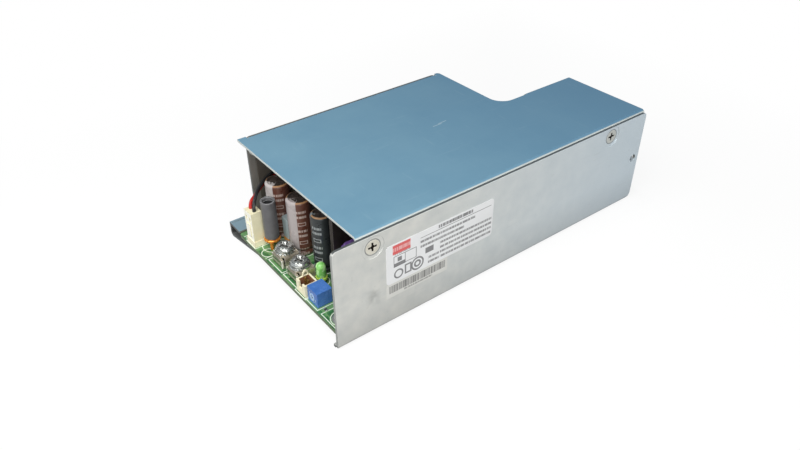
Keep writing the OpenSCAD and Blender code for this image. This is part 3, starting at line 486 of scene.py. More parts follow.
def wall_shades(tree, place, colour):
    """The shade under the cover, inside the case, in the ledge, on cut edges and along the foot."""
    groove = times(tree, box_mask(tree, place, *WALL_TOPS, 0.2), upward(tree))
    colour = tint(tree, colour, groove, rgb(44, 52, 56), 0.9)
    colour = tint(tree, colour, box_mask(tree, place, *CASE_INSIDE, 0.3), rgb(104, 98, 90), 0.75)
    colour = tint(tree, colour, box_mask(tree, place, *LEDGE_CHANNEL, 0.3), rgb(50, 52, 52), 0.85)
    cut = spread(tree, facing(tree, X), -0.8, -0.95)
    plain_side = box_mask(tree, place, *PLAIN_WALL, 0.3)
    cut_tone = blend_colour(tree, plain_side, rgb(84, 88, 90), rgb(150, 153, 151))
    colour = tint(tree, colour, cut, cut_tone, 0.85)
    return tint(tree, colour, slab(tree, place, Z, -1, 0.3, 1.6), rgb(112, 116, 118), 0.5)


def paint_chassis(tree, place, colour, gloss, shine):
    """The ledge is blue as the cover. The walls are bare, with painted cool shade towards the fan and painted
    shade darkening them towards the foot.
    """
    # painted shade: a cool, slightly darker tone towards the fan end, for the light falling off along the
    # wall
    colour = tint(tree, colour, ramp(tree, place, X, 30, 150), WALL_PAINTED_COOL_SHADE, 0.75)
    # painted shade: the walls darken towards the foot
    colour = tint(tree, colour, ramp(tree, place, Z, 16, 0), PAINTED_SHADE_DARK, 0.22)
    colour = wall_marks(tree, place, colour)
    colour = wall_shades(tree, place, colour)
    blue = use(tree, MOTTLE, Vector=place, Scale=60.0, Contrast=1.4, Light=rgb(140, 166, 180),
               Dark=rgb(126, 153, 168))["Colour"]
    ledge = times(tree, box_mask(tree, place, *LEDGE, 0.1), upward(tree))
    return tint(tree, colour, ledge, blue), gloss, shine


def paint_case_screw(tree, place, colour, gloss, shine):
    """Below the face of the head the recess is painted dark, as shade. The screws at the fan end are greyer.
    """
    colour = tint(tree, colour, ramp(tree, place, X, 90, 120), rgb(190, 198, 200), 0.6)
    depth = SCREW_SINK + 0.3
    inner = slab(tree, place, Y, depth, FAR_WALL - depth, 0.1)
    # painted shade in the recess below the head's face
    return tint(tree, colour, inner, rgb(46, 40, 34)), gloss, shine


# ---------------------------------------------------------------- board and what stands on it

# In millimetres: corners x0, y0, x1, y1 of outlines and of print, and x, y, radius of rings.
SILK_BOXES = [(1.7, 63.2, 7.9, 70.8), (2.6, 43.2, 12.6, 53.8), (2.6, 31.9, 12.6, 42.2),
              (1.7, 24.2, 8.8, 31.8), (2.1, 16.6, 10.2, 24.8), (2.2, 3.4, 11.2, 14.2),
              (10.4, 20.9, 12.6, 24.2), (10.6, 15.4, 12.8, 18.4)]
SILK_RINGS = [(4.6, 57.8, 2.6), (12.3, 29.6, 3.0), (16.8, 67, 5.5), (17.3, 51.5, 5.5), (17.9, 36.3, 4.5),
              (8.7, 60.8, 4.4), (7, 7.8, 4.2)]
SILK_PRINT = [(9.2, 24.9, 13, 27.6), (2, 54.2, 7, 55.4), (8.6, 71.6, 13, 74.6), (11.4, 3, 16, 9),
              (2, 71.2, 8, 73.8), (8.8, 42.3, 12.4, 43.1), (13, 15, 17, 19)]
SILK_LINE = 0.32
FIXING_HOLES = [(7, 7.8), (25.6, 72), (122.5, 7.8), (122.5, 72)]


def silk_screen(tree, place):
    """White outlines, rings and rows of print on the board's top."""
    level, under = BOARD_TOP + 1, BOARD_TOP - 1
    lines = [box_line(tree, place, at(x0, y0, under), at(x1, y1, level), SILK_LINE)
             for x0, y0, x1, y1 in SILK_BOXES]
    lines += [ring_mask(tree, place, at(x, y, 0), radius, SILK_LINE) for x, y, radius in SILK_RINGS]
    from_corner = vector_maths(tree, "SUBTRACT", place, at(0, 0, 0))
    rows = use(tree, PRINT_ROWS, Vector=from_corner, Pitch=1.3 * MM, Fill=0.8)["Mask"]
    spots = any_of(tree, [box_mask(tree, place, at(x0, y0, under), at(x1, y1, level))
                          for x0, y0, x1, y1 in SILK_PRINT])
    lines.append(times(tree, rows, spots))
    return any_of(tree, lines)


def paint_board(tree, place, colour, gloss, shine):
    """Solder mask over copper, white print round the parts, tinned fixing rings and raw cut edges."""
    flat = vector_maths(tree, "MULTIPLY", place, (1.0, 0.45, 0.0))
    cells = node(tree, "ShaderNodeTexVoronoi", {"Vector": flat, "Scale": 420.0}, distance="CHEBYCHEV")
    colour = tint(tree, colour, spread(tree, cells.outputs[0], 0.36, 0.42), rgb(126, 168, 112), 0.5)
    up = upward(tree)
    colour = tint(tree, colour, times(tree, silk_screen(tree, place), up), rgb(226, 236, 222), 0.92)
    tin = any_of(tree, [ring_mask(tree, place, at(x, y, 0), 2.7, 2.0) for x, y in FIXING_HOLES])
    tin = times(tree, tin, up)
    colour = tint(tree, colour, tin, rgb(206, 208, 204))
    cut = spread(tree, maths(tree, "ABSOLUTE", facing(tree, Z)), 0.5, 0.3)
    colour = tint(tree, colour, cut, rgb(104, 118, 94))
    return colour, plus(tree, gloss, times(tree, cut, 0.4)), plus(tree, shine, times(tree, tin, 0.8))


def can_paint(name, stripe_turn, half_turn, stripe_colour, print_colour, radius):
    """The painter of one capacitor's sleeve, with its stripe at that turn in degrees. Its rim gets a painted
    gold glint and its metal top is painted dark for the cover's shadow.
    """
    low, high = corners_of(name)
    centre = Vector(((low.x + high.x) / 2, (low.y + high.y) / 2, low.z))

    def paint(tree, place, colour, gloss, shine):
        masks = use(tree, CAN_SLEEVE, Vector=place, Centre=centre, Radius=radius * MM, Height=high.z - low.z,
                    Stripe=math.radians(stripe_turn), Half=math.radians(half_turn))
        colour = tint(tree, colour, masks["Print"], print_colour, 0.65)
        # painted highlight: a gold glint along the sleeve's rolled rim
        colour = tint(tree, colour, masks["Rim"], rgb(196, 150, 104), 0.55)
        colour = tint(tree, colour, masks["Stripe"], stripe_colour)
        # painted shadow: the aluminium top is painted dark brown, for the cover's shadow over it
        colour = tint(tree, colour, masks["Metal"], rgb(84, 74, 70))
        return colour, gloss, times(tree, masks["Metal"], 0.6)
    return paint


def bracket_paint(name):
    """The painter of one terminal bracket: glossier and more metallic towards the open end, where a tan-grey
    reflection is painted, between two bent corners painted with highlights.
    """
    low, high = corners_of(name)
    column = Vector((0.45 * MM, 0.45 * MM, 1))

    def paint(tree, place, colour, gloss, shine):
        polished_with_painted_reflection = towards_open_end(tree)
        bends = [Vector((low.x, y, 0)) for y in (low.y, high.y)]
        bright = any_of(tree, [box_mask(tree, place, bend - column, bend + column, 0.15) for bend in bends])
        # painted reflection: a tan-grey tone on the faces towards the open end
        colour = tint(tree, colour, polished_with_painted_reflection, rgb(132, 128, 112), 0.55)
        # painted highlight: near-white along the two bent corners
        colour = tint(tree, colour, bright, rgb(250, 248, 238), 0.85)
        gloss = minus(tree, gloss, times(tree, polished_with_painted_reflection, 0.12), clamp=True)
        shine = plus(tree, shine, times(tree, polished_with_painted_reflection, 0.3), clamp=True)
        return colour, gloss, minus(tree, shine, times(tree, bright, 0.5), clamp=True)
    return paint


def paint_terminal_screw(tree, place, colour, gloss, shine):
    """Painted shade in the upright screws' recesses."""
    top = top_of("terminal_screws")
    recess = times(tree, slab(tree, place, Z, top - 1.4, top - 0.5, 0.1), upward(tree))
    # painted shade: the recess is darkened
    return tint(tree, colour, recess, rgb(70, 70, 70)), gloss, shine


def paint_plug(tree, place, colour, gloss, shine):
    """The side towards the open end is painted near-white, a painted highlight for the light falling from
    that side.
    """
    # painted highlight on the faces towards the open end
    return tint(tree, colour, towards_open_end(tree), rgb(255, 254, 242)), gloss, shine


def paint_choke_sleeve(tree, place, colour, gloss, shine):
    """The sleeve's open top is painted dark inside, as shade."""
    top = top_of("rod_choke_sleeve")
    inside = times(tree, slab(tree, place, Z, top - 2, top - 0.5, 0.2), upward(tree))
    # painted shade inside the sleeve's open top
    return tint(tree, colour, inside, rgb(22, 22, 24)), gloss, shine


def paint_snubber(tree, place, colour, gloss, shine):
    """The potting compound shows amber at the foot."""
    return tint(tree, colour, slab(tree, place, Z, 0, BOARD_TOP + 2.4, 0.5), rgb(214, 142, 60)), gloss, shine


def paint_led(tree, place, colour, gloss, shine):
    """Painted pale highlights in the lens, and a yellower green at its flange."""
    # painted highlights: pale patches in the lens
    clouds = spread(tree, noise(tree, place, 520.0, 1.0), 0.5, 0.64)
    colour = tint(tree, colour, clouds, rgb(206, 246, 184), 0.8)
    return tint(tree, colour, slab(tree, place, Z, 0, BOARD_TOP + 2.9, 0.6), rgb(186, 216, 96)), gloss, shine


def paint_trimmer(tree, place, colour, gloss, shine):
    """A broken pale scale round the adjusting screw, on the face towards the open end."""
    low, high = corners_of("trimmer_body")
    scale = ring_mask(tree, place, (low + high) / 2, 2.1, 0.3, (0, 1, 1))
    face = box_mask(tree, place, low - Vector((1, 1, 1)) * MM, Vector((low.x + 0.2 * MM, high.y, high.z)))
    breaks = above(tree, noise(tree, place, 700.0, 0.0), 0.54)
    marks = times(tree, breaks, times(tree, scale, face))
    return tint(tree, colour, marks, rgb(190, 208, 232), 0.7), gloss, shine


def paint_trimmer_screw(tree, place, colour, gloss, shine):
    """Behind its face the adjusting screw is painted dark, as shade: the bottom of its cross recess and its
    rim.
    """
    low, high = corners_of("trimmer_screw")
    margin = Vector((1, 1, 1)) * MM
    face = Vector((low.x + 0.25 * MM, low.y - margin.y, low.z - margin.z))
    deep = box_mask(tree, place, face, high + margin)
    # painted shade in the cross recess and behind the face
    return tint(tree, colour, deep, rgb(34, 54, 96), 0.85), gloss, shine


def paint_signal_header(tree, place, colour, gloss, shine):
    """The inside of the header is a darker brown."""
    low, high = corners_of("signal_header")
    wall = Vector((0.75, 0.75, -1)) * MM
    return tint(tree, colour, box_mask(tree, place, low + wall, high - wall), rgb(138, 96, 68)), gloss, shine


# ---------------------------------------------------------------- plates on the plain wall

# In millimetres, along and above: corners x0, z0, x1, z1 of boxes, and x, z, radius, width of rings.
LABEL_LOW, LABEL_HIGH = (21.3, 18.6), (71.2, 35.5)
STICKER_LOW, STICKER_HIGH = (21.3, 12.4), (49.2, 18.6)
LABEL_THICK, STICKER_THICK = 0.12, 0.1
LABEL_BLOCK = (24.1, 31.0, 31.8, 34.9)
LABEL_TITLE = (44.5, 33.3, 60.7, 35.1)
LABEL_ROWS = [(36.3, 30.1, 62, 32.2), (36.3, 28.0, 56.6, 30.1), (45.4, 19.5, 70.5, 27.9),
              (39.9, 19.5, 44.9, 23.4), (24.6, 30.2, 31.8, 30.9)]
LABEL_CELLS = [(24.6, 25.5, 29.5, 30.0), (29.5, 25.7, 34.4, 30.0)]
LABEL_SOLIDS = [(24.7, 25.5, 29.4, 26.9), (36.3, 32.75, 69.9, 32.95), (26.2, 27.4, 28, 29.2),
                (38.6, 25.0, 42.3, 27.4)]
LABEL_RINGS = [(35.0, 22.4, 2.55, 0.65), (35.0, 22.4, 1.2, 0.7), (26.6, 21.9, 1.75, 0.6)]
LABEL_FRAME = (29.6, 20.6, 32.0, 24.2)
STICKER_BARS = (22.4, 14.3, 48.1, 17.6)
STICKER_ROW = (29, 12.8, 42, 14.2)
INK = rgb(74, 74, 76)
LABEL_RED = rgb(216, 98, 98)
RED_MARKS = rgb(240, 206, 206)


def wall_box(tree, place, x0, z0, x1, z1):
    return box_mask(tree, place, at(x0, -1, z0), at(x1, 1, z1))


def wall_line(tree, place, x0, z0, x1, z1, width=0.22):
    return box_line(tree, place, at(x0, -1, z0), at(x1, 1, z1), width)


def wall_print(tree, place, areas, row, pitch, fill):
    """Strokes in rows within some boxes on the wall, with the middle of one row at that height."""
    inside = any_of(tree, [wall_box(tree, place, *area) for area in areas])
    from_row = vector_maths(tree, "SUBTRACT", place, at(0, 0, row - pitch / 2))
    turned = node(tree, "ShaderNodeMapping", {"Vector": from_row, "Rotation": (math.radians(-90), 0, 0)})
    rows = use(tree, PRINT_ROWS, Vector=turned.outputs[0], Pitch=pitch * MM, Fill=fill)["Mask"]
    return times(tree, inside, rows)


def paint_label(tree, place, colour, gloss, shine):
    """A rating label without lettering: a red block, a framed cell, plain rings and rows of strokes."""
    colour = tint(tree, colour, wall_box(tree, place, *LABEL_BLOCK), LABEL_RED)
    colour = tint(tree, colour, wall_print(tree, place, [LABEL_BLOCK], 33, 3.2, 0.8), RED_MARKS, 0.6)
    rows = wall_print(tree, place, LABEL_ROWS, 31.1, 2.12, 0.82)
    fine = [wall_print(tree, place, [LABEL_TITLE], 34.2, 2.9, 0.9), times(tree, rows, 0.9)]
    fine += [wall_line(tree, place, *cell) for cell in LABEL_CELLS]
    bold = [wall_box(tree, place, *solid) for solid in LABEL_SOLIDS]
    for x, z, radius, width in LABEL_RINGS:
        bold.append(ring_mask(tree, place, at(x, 0, z), radius, width, (1, 0, 1)))
    bold.append(wall_line(tree, place, *LABEL_FRAME, 0.6))
    colour = tint(tree, colour, any_of(tree, fine), INK, 0.8)
    return tint(tree, colour, any_of(tree, bold), INK, 0.8), gloss, shine


def paint_sticker(tree, place, colour, gloss, shine):
    """A strip of bars and a row of strokes below it."""
    across = vector_maths(tree, "MULTIPLY", place, (1, 0, 0))
    bars = []
    for scale in (2900.0, 1700.0):
        bars.append(times(tree, above(tree, noise(tree, across, scale, 0.0), 0.46), 0.5))
    strip = times(tree, wall_box(tree, place, *STICKER_BARS), plus(tree, *bars))
    row = times(tree, wall_print(tree, place, [STICKER_ROW], 13.5, 1.6, 0.8), 0.7)
    return tint(tree, colour, any_of(tree, [strip, row]), INK, 0.78), gloss, shine


# ---------------------------------------------------------------- materials

BROWN = (rgb(106, 68, 56), rgb(82, 50, 42))
SLATE = (rgb(58, 62, 64), rgb(40, 44, 46))
BROWN_PRINT = rgb(206, 190, 182)
SLATE_PRINT = rgb(176, 182, 184)

MATERIALS = {
    "sheet_metal": finish("galvanised_sheet", WALL_LIGHT, WALL_DARK, patch=160, contrast=1.8, rough=0.5,
                          rough_spread=0.08, metallic=0.3, grain=1800, bump=0.12, depth=0.03, soften=0.2,
                          edge=rgb(226, 228, 226), edge_amount=0.5, paint=paint_chassis),
    "cover_metal": finish("cover_sheet", rgb(214, 220, 218), rgb(198, 206, 206), patch=60, rough=0.42,
                          rough_spread=0.06, metallic=0.25, grain=1500, bump=0.08, soften=0.25,
                          edge=BARE_EDGE_AND_HIGHLIGHT, edge_amount=0.5, paint=paint_cover),
    "screw_cream": finish("plated_screw", rgb(232, 229, 216), rgb(208, 203, 188), patch=500, metallic=0.35,
                          rough=0.4, edge=rgb(244, 242, 234), edge_amount=0.5, paint=paint_case_screw),
    "screw_steel": finish("steel_screw", rgb(200, 202, 204), rgb(160, 163, 166), patch=600, metallic=0.85,
                          rough=0.28, edge=rgb(236, 238, 240), edge_amount=0.8),
    "nickel": finish("nickel_plate", rgb(216, 220, 220), rgb(150, 150, 142), patch=420, contrast=2.4,
                     metallic=0.85, rough=0.22, rough_spread=0.05, grain=900, bump=0.05,
                     edge=rgb(245, 246, 248), edge_amount=0.3, paint=paint_terminal_screw),
    "fish_paper": finish("insulating_paper", rgb(96, 92, 84), rgb(78, 74, 68), patch=200, rough=0.7),
    "board": finish("board_mask", rgb(74, 130, 80), rgb(38, 88, 50), patch=420, contrast=2.6, rough=0.32,
                    bump=0.2, paint=paint_board),
    "nylon_cream": finish("natural_nylon", rgb(246, 241, 212), rgb(234, 226, 194), rough=0.42,
                          paint=paint_signal_header),
    "lead_red": finish("red_insulation", rgb(196, 40, 34), rgb(160, 24, 22), rough=0.38),
    "lead_black": finish("black_insulation", rgb(44, 44, 46), rgb(26, 26, 28), rough=0.38),
    "fan_plastic": finish("fan_moulding", rgb(76, 77, 80), rgb(54, 55, 58), rough=0.46, grain=3500,
                          bump=0.2, edge=rgb(120, 121, 124), edge_amount=0.4),
    "copper": finish("enamelled_copper", rgb(244, 164, 72), rgb(206, 118, 42), patch=900, metallic=0.6,
                     rough=0.26),
    "ferrite": finish("sintered_ferrite", rgb(72, 72, 74), rgb(48, 48, 50), rough=0.6, grain=3000, bump=0.3),
    "shrink_sleeve": finish("sleeve_tube", rgb(104, 104, 106), rgb(80, 80, 83), patch=250, rough=0.36,
                            bump=0.15, edge=rgb(200, 202, 206), edge_amount=0.4, paint=paint_choke_sleeve),
    "can_blue": finish("blue_sleeve", rgb(40, 52, 88), rgb(24, 34, 66), patch=250, rough=0.3),
    "film_case": finish("film_capacitor_case", rgb(164, 178, 180), rgb(142, 156, 160), rough=0.42,
                        paint=paint_snubber),
    "trimmer_blue": finish("trimmer_case", rgb(78, 126, 198), rgb(56, 100, 172), rough=0.24,
                           paint=paint_trimmer),
    "trimmer_white": finish("trimmer_screw", rgb(176, 202, 230), rgb(146, 178, 216), patch=900, rough=0.42,
                            paint=paint_trimmer_screw),
    "led_green": finish("green_lens", rgb(162, 224, 132), rgb(98, 178, 82), patch=420, contrast=2.4,
                        rough=0.1, paint=paint_led),
    "sink_metal": finish("dark_plate", rgb(66, 58, 54), rgb(46, 40, 37), patch=160, metallic=0.5, rough=0.42,
                         edge=rgb(120, 116, 112), edge_amount=0.5),
    "package_black": finish("moulded_package", rgb(46, 46, 48), rgb(32, 32, 34), rough=0.5, grain=3500,
                            bump=0.2),
    "toroid_paint": finish("coated_core", rgb(120, 156, 76), rgb(90, 126, 52), rough=0.36),
    "winding_purple": finish("violet_enamel", rgb(142, 108, 186), rgb(108, 76, 152), metallic=0.3, rough=0.3),
    "coil_tape": finish("coil_tape", rgb(224, 184, 70), rgb(200, 156, 46), rough=0.36),
    "bobbin": finish("moulded_bobbin", rgb(44, 44, 46), rgb(30, 30, 32), rough=0.5),
    "film_yellow": finish("yellow_case", rgb(230, 196, 84), rgb(212, 176, 60), rough=0.4),
    "disc_blue": finish("dipped_disc", rgb(82, 124, 190), rgb(58, 98, 166), rough=0.3),
    "fuse_ceramic": finish("fuse_tube", rgb(232, 228, 214), rgb(214, 208, 192), rough=0.3),
    "gold_pin": finish("plated_pin", rgb(226, 196, 120), rgb(200, 166, 88), metallic=0.9, rough=0.25),
}


def bracket_finish(name):
    return finish("tinned_" + name, rgb(220, 210, 192), rgb(180, 170, 152), patch=140, metallic=0.65,
                  rough=0.28, rough_spread=0.06, edge=rgb(250, 248, 240), edge_amount=2.5,
                  paint=bracket_paint(name))


def can_finish(name, node_name, colours, *stripe_and_print):
    """Takes the stripe's turn, half its angle, its colour, the print's colour and the sleeve's radius."""
    return finish(name, *colours, patch=250, rough=0.3, paint=can_paint(node_name, *stripe_and_print))


OWN_MATERIALS = {
    "fan_plug": finish("plug_nylon", rgb(234, 229, 198), rgb(220, 214, 180), rough=0.42, paint=paint_plug),
    "terminal_bracket_plus": bracket_finish("terminal_bracket_plus"),
    "terminal_bracket_minus": bracket_finish("terminal_bracket_minus"),
    "output_capacitor_1": can_finish("brown_sleeve_1", "output_capacitor_1", BROWN, 183, 36,
                                     rgb(180, 174, 174), BROWN_PRINT, 5),
    "output_capacitor_2": can_finish("brown_sleeve_2", "output_capacitor_2", BROWN, 189, 38,
                                     rgb(172, 164, 164), BROWN_PRINT, 5),
    "output_capacitor_3": can_finish("dark_sleeve", "output_capacitor_3", SLATE, 150, 14,
                                     rgb(120, 128, 132), SLATE_PRINT, 4),
}

for part in frame["record"]["subparts"]:
    piece = frame["nodes"][part["node"]]
    piece.data.materials.clear()
    piece.data.materials.append(OWN_MATERIALS.get(part["node"]) or MATERIALS[part["material_slot"]])


# ---------------------------------------------------------------- modelling helpers

def begin(name, primitive, **sizes):
    """Adds a primitive with nothing else selected."""
    bpy.ops.object.select_all(action="DESELECT")
    getattr(bpy.ops.mesh, "primitive_" + primitive + "_add")(**sizes)
    piece = bpy.context.object
    piece.name = name
    return piece


def pick(piece, kind, test):
    """Goes into edit mode with only the faces, edges or points selected for which the test holds."""
    bpy.ops.object.mode_set(mode="EDIT")
    bpy.ops.mesh.select_mode(type=kind)
    bpy.ops.mesh.select_all(action="DESELECT")
    bpy.ops.object.mode_set(mode="OBJECT")
    mesh = piece.data
    for part in {"FACE": mesh.polygons, "EDGE": mesh.edges, "VERT": mesh.vertices}[kind]:
        if kind == "FACE":
            part.select = test(part.center, part.normal)
        elif kind == "EDGE":
            a, b = (mesh.vertices[i].co for i in part.vertices)
            part.select = test((a + b) / 2, (b - a).normalized())
        else:
            part.select = test(part.co)
    bpy.ops.object.mode_set(mode="EDIT")


def leave():
    bpy.ops.object.mode_set(mode="OBJECT")


def size_mesh(piece, size):
    """Puts a size in millimetres into the mesh of a unit cube."""
    piece.scale = [length * MM for length in size]
    bpy.ops.object.transform_apply(location=False, rotation=False, scale=True)


def modify(piece, kind, **settings):
    """Adds a modifier and applies it."""
    change = piece.modifiers.new(kind.lower(), kind)
    for key, value in settings.items():
        setattr(change, key, value)
    bpy.ops.object.modifier_apply(modifier=change.name)


def settle(piece, material, smooth=35):
    """Puts the piece's place into its mesh, and gives it its finish and its body."""
    bpy.ops.object.select_all(action="DESELECT")
    piece.select_set(True)
    bpy.context.view_layer.objects.active = piece
    bpy.ops.object.transform_apply(location=True, rotation=True, scale=True)
    bpy.ops.object.shade_smooth_by_angle(angle=math.radians(smooth))
    piece.data.materials.clear()
    piece.data.materials.append(material)
    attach(piece, SUPPLY)
    return piece


# ---------------------------------------------------------------- label and sticker

def make_plate(name, low, high, radius, thick, material):
    """A thin plate on the outer face of the plain wall, with its corners rounded."""
    middle = at((low[0] + high[0]) / 2, -thick / 2, (low[1] + high[1]) / 2)
    piece = begin(name, "cube", size=1, location=middle)
    size_mesh(piece, (high[0] - low[0], thick, high[1] - low[1]))
    pick(piece, "EDGE", lambda middle, along: abs(along.y) > 0.9)
    bpy.ops.mesh.bevel(offset=radius * MM, segments=6)
    leave()
    settle(piece, material)


# ---------------------------------------------------------------- screws and washers of the terminals

WASHER_TEETH = 14
STEPS = 4  # points along each tooth
TERMINAL_REACH = 5 * MM
WASHER_HOLE_REACH = 3 * MM
SLIM_HEAD = (0.8, 0.8, 0.92)
SLIM_WASHER = (0.84, 0.84, 1)
LOCK_INNER_R = 2.4
LOCK_THICK = 0.3


def make_lock_washer(name, middle, inner, outer, thick):
    """A toothed lock washer: a ring whose outer teeth are twisted up and down."""
    count = WASHER_TEETH * STEPS
    half = (inner + outer) / 2
    piece = begin(name, "circle", vertices=count, radius=inner * MM, fill_type="NOTHING", location=middle)

    def place(co):
        """Where a point lies within its tooth, in eighths."""
        return int(round(math.degrees(math.atan2(co.y, co.x)) / 360 * count * 2)) % (2 * STEPS)

    def widen(test, grow):
        pick(piece, "EDGE", test)
        bpy.ops.mesh.extrude_edges_move()
        bpy.ops.transform.resize(value=(grow, grow, 1), center_override=tuple(middle))
        leave()

    widen(lambda co, along: True, half / inner)
    widen(lambda co, along: co.length > half * MM * 0.98 and place(co) in (1, 3), outer / half)
    for eighth, lift in ((0, 0.22), (STEPS, -0.12)):
        pick(piece, "VERT", lambda co: co.length > outer * MM * 0.97 and place(co) == eighth)
        bpy.ops.transform.translate(value=(0, 0, lift * MM))
        leave()
    modify(piece, "SOLIDIFY", thickness=thick * MM, offset=0)
    settle(piece, MATERIALS["nickel"])


def copy_of(name, node_name):
    """A merged copy of a CAD node's mesh."""
    bpy.ops.object.select_all(action="DESELECT")
    piece = frame["nodes"][node_name].copy()
    piece.data = piece.data.copy()
    piece.name = name
    piece.parent = None
    bpy.context.collection.objects.link(piece)
    bpy.context.view_layer.objects.active = piece
    piece.select_set(True)
    pick(piece, "VERT", lambda co: True)
    bpy.ops.mesh.remove_doubles(threshold=0.001 * MM)
    leave()
    return piece


def slim(piece, test, value, middle):
    """Draws the points in towards a middle."""
    pick(piece, "VERT", test)
    bpy.ops.transform.resize(value=value, center_override=tuple(middle))
    leave()


def make_terminal_hardware():
    """Slimmer screw heads and washers than the solids have, with a toothed lock washer below each head."""
    low, high = corners_of("terminal_washers")
    outer = (high.x - low.x) / 2 / MM
    screws = copy_of("terminal_screw_heads", "terminal_screws")
    plain = copy_of("terminal_plain_washers", "terminal_washers")
    for side in ("plus", "minus"):
        a, b = corners_of("terminal_bracket_" + side)
        middle = Vector(((low.x + high.x) / 2, (a.y + b.y) / 2, (low.z + high.z) / 2))
        seat = Vector((middle.x, middle.y, high.z))

        def in_head(co):
            return abs(co.y - middle.y) < TERMINAL_REACH and co.z > high.z - 0.01 * MM

        def on_rim(co):
            return abs(co.y - middle.y) < TERMINAL_REACH and (co - middle).to_2d().length > WASHER_HOLE_REACH

        slim(screws, in_head, SLIM_HEAD, seat)
        slim(plain, on_rim, SLIM_WASHER, middle)
        make_lock_washer("lock_washer_" + side, middle, LOCK_INNER_R, outer, LOCK_THICK)
    for piece, node_name in ((screws, "terminal_screws"), (plain, "terminal_washers")):
        settle(piece, MATERIALS["nickel"])
        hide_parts(node_name)


# ---------------------------------------------------------------- small parts on the board

# Name, x, y, width, length and height in millimetres, light and dark colour.
CHIPS = [("chip_part_1", 11.4, 22.4, 1.25, 2.1, 0.8, rgb(206, 214, 186), rgb(160, 172, 140)),
         ("chip_part_2", 11.6, 16.9, 0.85, 1.7, 0.5, rgb(60, 60, 62), rgb(40, 40, 42)),
         ("chip_part_3", 4.6, 14.9, 0.85, 1.7, 0.5, rgb(60, 60, 62), rgb(40, 40, 42))]
CHIP_BODY = 0.56
CHIP_CAP_GROWTH = (1.14, 1, 1.12)
CHIP_CAP_REACH = 1.7


def make_chip(name, x, y, wide, long, high, material):
    """A small chip part on the board, with solder caps at both ends that stand proud of its body."""
    seat = tuple(at(x, y, BOARD_TOP))
    piece = begin(name, "cube", size=1, location=at(x, y, BOARD_TOP + high / 2))
    size_mesh(piece, (wide, long * CHIP_BODY, high))
    pick(piece, "FACE", lambda middle, normal: abs(normal.y) > 0.9)
    bpy.ops.mesh.extrude_region_move()
    bpy.ops.transform.resize(value=CHIP_CAP_GROWTH, center_override=seat)
    bpy.ops.mesh.extrude_region_move()
    bpy.ops.transform.resize(value=(1, CHIP_CAP_REACH, 1), center_override=seat)
    leave()
    modify(piece, "BEVEL", width=0.07 * MM, segments=2)
    settle(piece, material)


def chip_finish(name, light, dark, x, y, long):
    """The finish of a chip part, with tin on its end caps."""
    def paint(tree, place, colour, gloss, shine):
        reach = long * CHIP_BODY / 2 - 0.01 * long
        body = box_mask(tree, place, at(x - 5, y - reach, 0), at(x + 5, y + reach, BEYOND))
        colour = blend_colour(tree, body, rgb(214, 218, 214), colour)
        return colour, gloss, minus(tree, 0.8, body, clamp=True)
    return finish(name, light, dark, patch=900, rough=0.35, paint=paint)


def make_header_latch():
    """The thin latch that curls up over the far rim of the signal header."""
    rim = corners_of("signal_header")[1]
    middle = Vector((rim.x - 1.9 * MM, rim.y - 0.4 * MM, rim.z))
    piece = begin("header_latch", "torus", major_radius=1.1 * MM, minor_radius=0.32 * MM, major_segments=32,
                  minor_segments=10, location=middle, rotation=(math.radians(90), 0, 0))
    bpy.ops.object.transform_apply(location=False, rotation=True, scale=False)
    pick(piece, "FACE", lambda middle, normal: True)
    bpy.ops.mesh.bisect(plane_co=tuple(middle), plane_no=(0, 0, 1), clear_inner=True, use_fill=True)
    bpy.ops.mesh.select_all(action="SELECT")
    bpy.ops.transform.resize(value=(1, 1, 1.9), center_override=tuple(middle))
    leave()
    settle(piece, MATERIALS["nylon_cream"])


label_film = finish("label_film", rgb(238, 239, 241), rgb(228, 229, 231), patch=80, rough=0.36, bump=0.04,
                    paint=paint_label)
sticker_film = finish("sticker_film", rgb(220, 220, 216), rgb(208, 208, 204), patch=80, bump=0.04,
                      paint=paint_sticker)
make_plate("rating_label", LABEL_LOW, LABEL_HIGH, 1.4, LABEL_THICK, label_film)
make_plate("serial_sticker", STICKER_LOW, STICKER_HIGH, 0.3, STICKER_THICK, sticker_film)
make_terminal_hardware()
make_header_latch()
for name, x, y, wide, long, high, light, dark in CHIPS:
    make_chip(name, x, y, wide, long, high, chip_finish(name + "_finish", light, dark, x, y, long))


# ---------------------------------------------------------------- floor, light and camera

FLOOR_GLOW = 0.88
SHADOW_REACH = 9 * MM
WHITE_FROM = 0.15  # metres from the part


def floor_share(tree):
    """How much of the floor glows white: less beside the chassis, for its shadow, and all of it far away."""
    place = node(tree, "ShaderNodeTexCoord").outputs["Object"]
    low, high = corners_of("chassis")
    low.z, high.z = -1, 1
    away = box_distance(tree, place, low, high)
    beside = spread(tree, away, 0.0, SHADOW_REACH, 0.5, FLOOR_GLOW)
    return any_of(tree, (beside, spread(tree, away, 0.01, WHITE_FROM, 0.85, 1.0)))


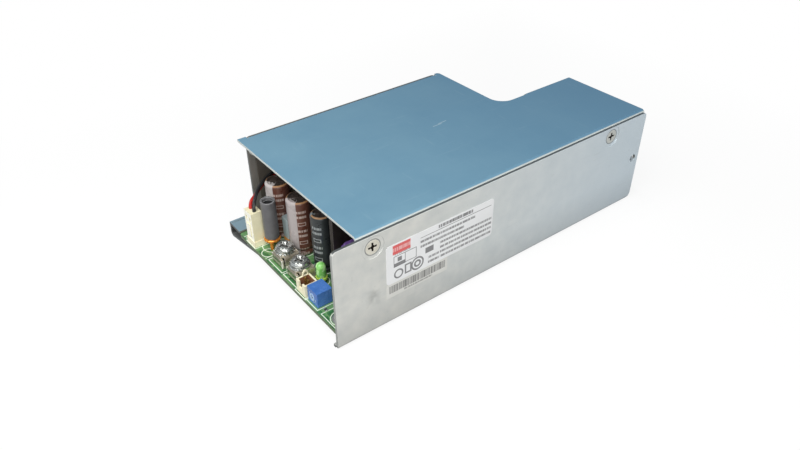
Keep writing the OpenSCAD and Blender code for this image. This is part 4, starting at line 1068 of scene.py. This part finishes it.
def make_floor():
    bpy.ops.object.select_all(action="DESELECT")
    bpy.ops.mesh.primitive_plane_add(size=6.0, location=(0, 0, CORNER.z))
    floor = bpy.context.object
    floor.name = "studio_floor"
    made = bpy.data.materials.new("studio_white")
    made.use_nodes = True
    tree = made.node_tree
    tree.nodes.clear()
    path = node(tree, "ShaderNodeLightPath").outputs
    seen = any_of(tree, (path["Is Camera Ray"], times(tree, path["Is Glossy Ray"], 0.5)))
    paper = blend_colour(tree, path["Is Camera Ray"], (0.28, 0.28, 0.28, 1), (0.9, 0.9, 0.9, 1))
    matt = node(tree, "ShaderNodeBsdfDiffuse", {"Color": paper}).outputs[0]
    glow = node(tree, "ShaderNodeEmission", {"Color": (1, 1, 1, 1), "Strength": 1.0}).outputs[0]
    share = times(tree, seen, floor_share(tree))
    mix = node(tree, "ShaderNodeMixShader", {0: share, 1: matt, 2: glow})
    node(tree, "ShaderNodeOutputMaterial", {0: mix.outputs[0]})
    floor.data.materials.append(made)


def make_world():
    world = bpy.data.worlds.new("studio")
    bpy.context.scene.world = world
    world.use_nodes = True
    tree = world.node_tree
    tree.nodes.clear()
    seen = node(tree, "ShaderNodeLightPath").outputs["Is Camera Ray"]
    soft = node(tree, "ShaderNodeBackground", {"Color": (0.88, 0.95, 1.0, 1), "Strength": 0.36}).outputs[0]
    white = node(tree, "ShaderNodeBackground", {"Color": (1, 1, 1, 1), "Strength": 1.0}).outputs[0]
    mix = node(tree, "ShaderNodeMixShader", {0: seen, 1: soft, 2: white})
    node(tree, "ShaderNodeOutputWorld", {0: mix.outputs[0]})


def make_lamp(name, place, target, size, power, colour):
    data = bpy.data.lights.new(name, "AREA")
    data.size = size
    data.energy = power
    data.color = colour
    lamp = bpy.data.objects.new(name, data)
    lamp.location = place
    lamp.rotation_euler = (Vector(target) - Vector(place)).to_track_quat("-Z", "Y").to_euler()
    bpy.context.collection.objects.link(lamp)


def make_camera():
    data = bpy.data.cameras.new("camera")
    data.lens = 32.11
    data.sensor_width = 36.0
    data.shift_x = 0.01475
    data.shift_y = 0.00675
    data.clip_start = 0.01
    camera = bpy.data.objects.new("camera", data)
    right = Vector((0.8021, -0.59703, -0.01399))
    up = Vector((0.36128, 0.46645, 0.8074))
    turn = Matrix((right, up, right.cross(up))).transposed().to_4x4()
    camera.matrix_world = Matrix.Translation(at(-90.04, -154.38, 181.88)) @ turn
    bpy.context.collection.objects.link(camera)
    bpy.context.scene.camera = camera


make_floor()
make_world()
make_lamp("key_light", (-0.30, -0.10, 0.38), (-0.03, 0, 0), 0.4, 2.4, (1.0, 0.98, 0.94))
make_lamp("front_light", (-0.18, -0.56, 0.30), (-0.05, 0, 0.02), 0.4, 1.9, (1.0, 0.98, 0.95))
make_camera()
bpy.context.scene.view_settings.view_transform = "Standard"
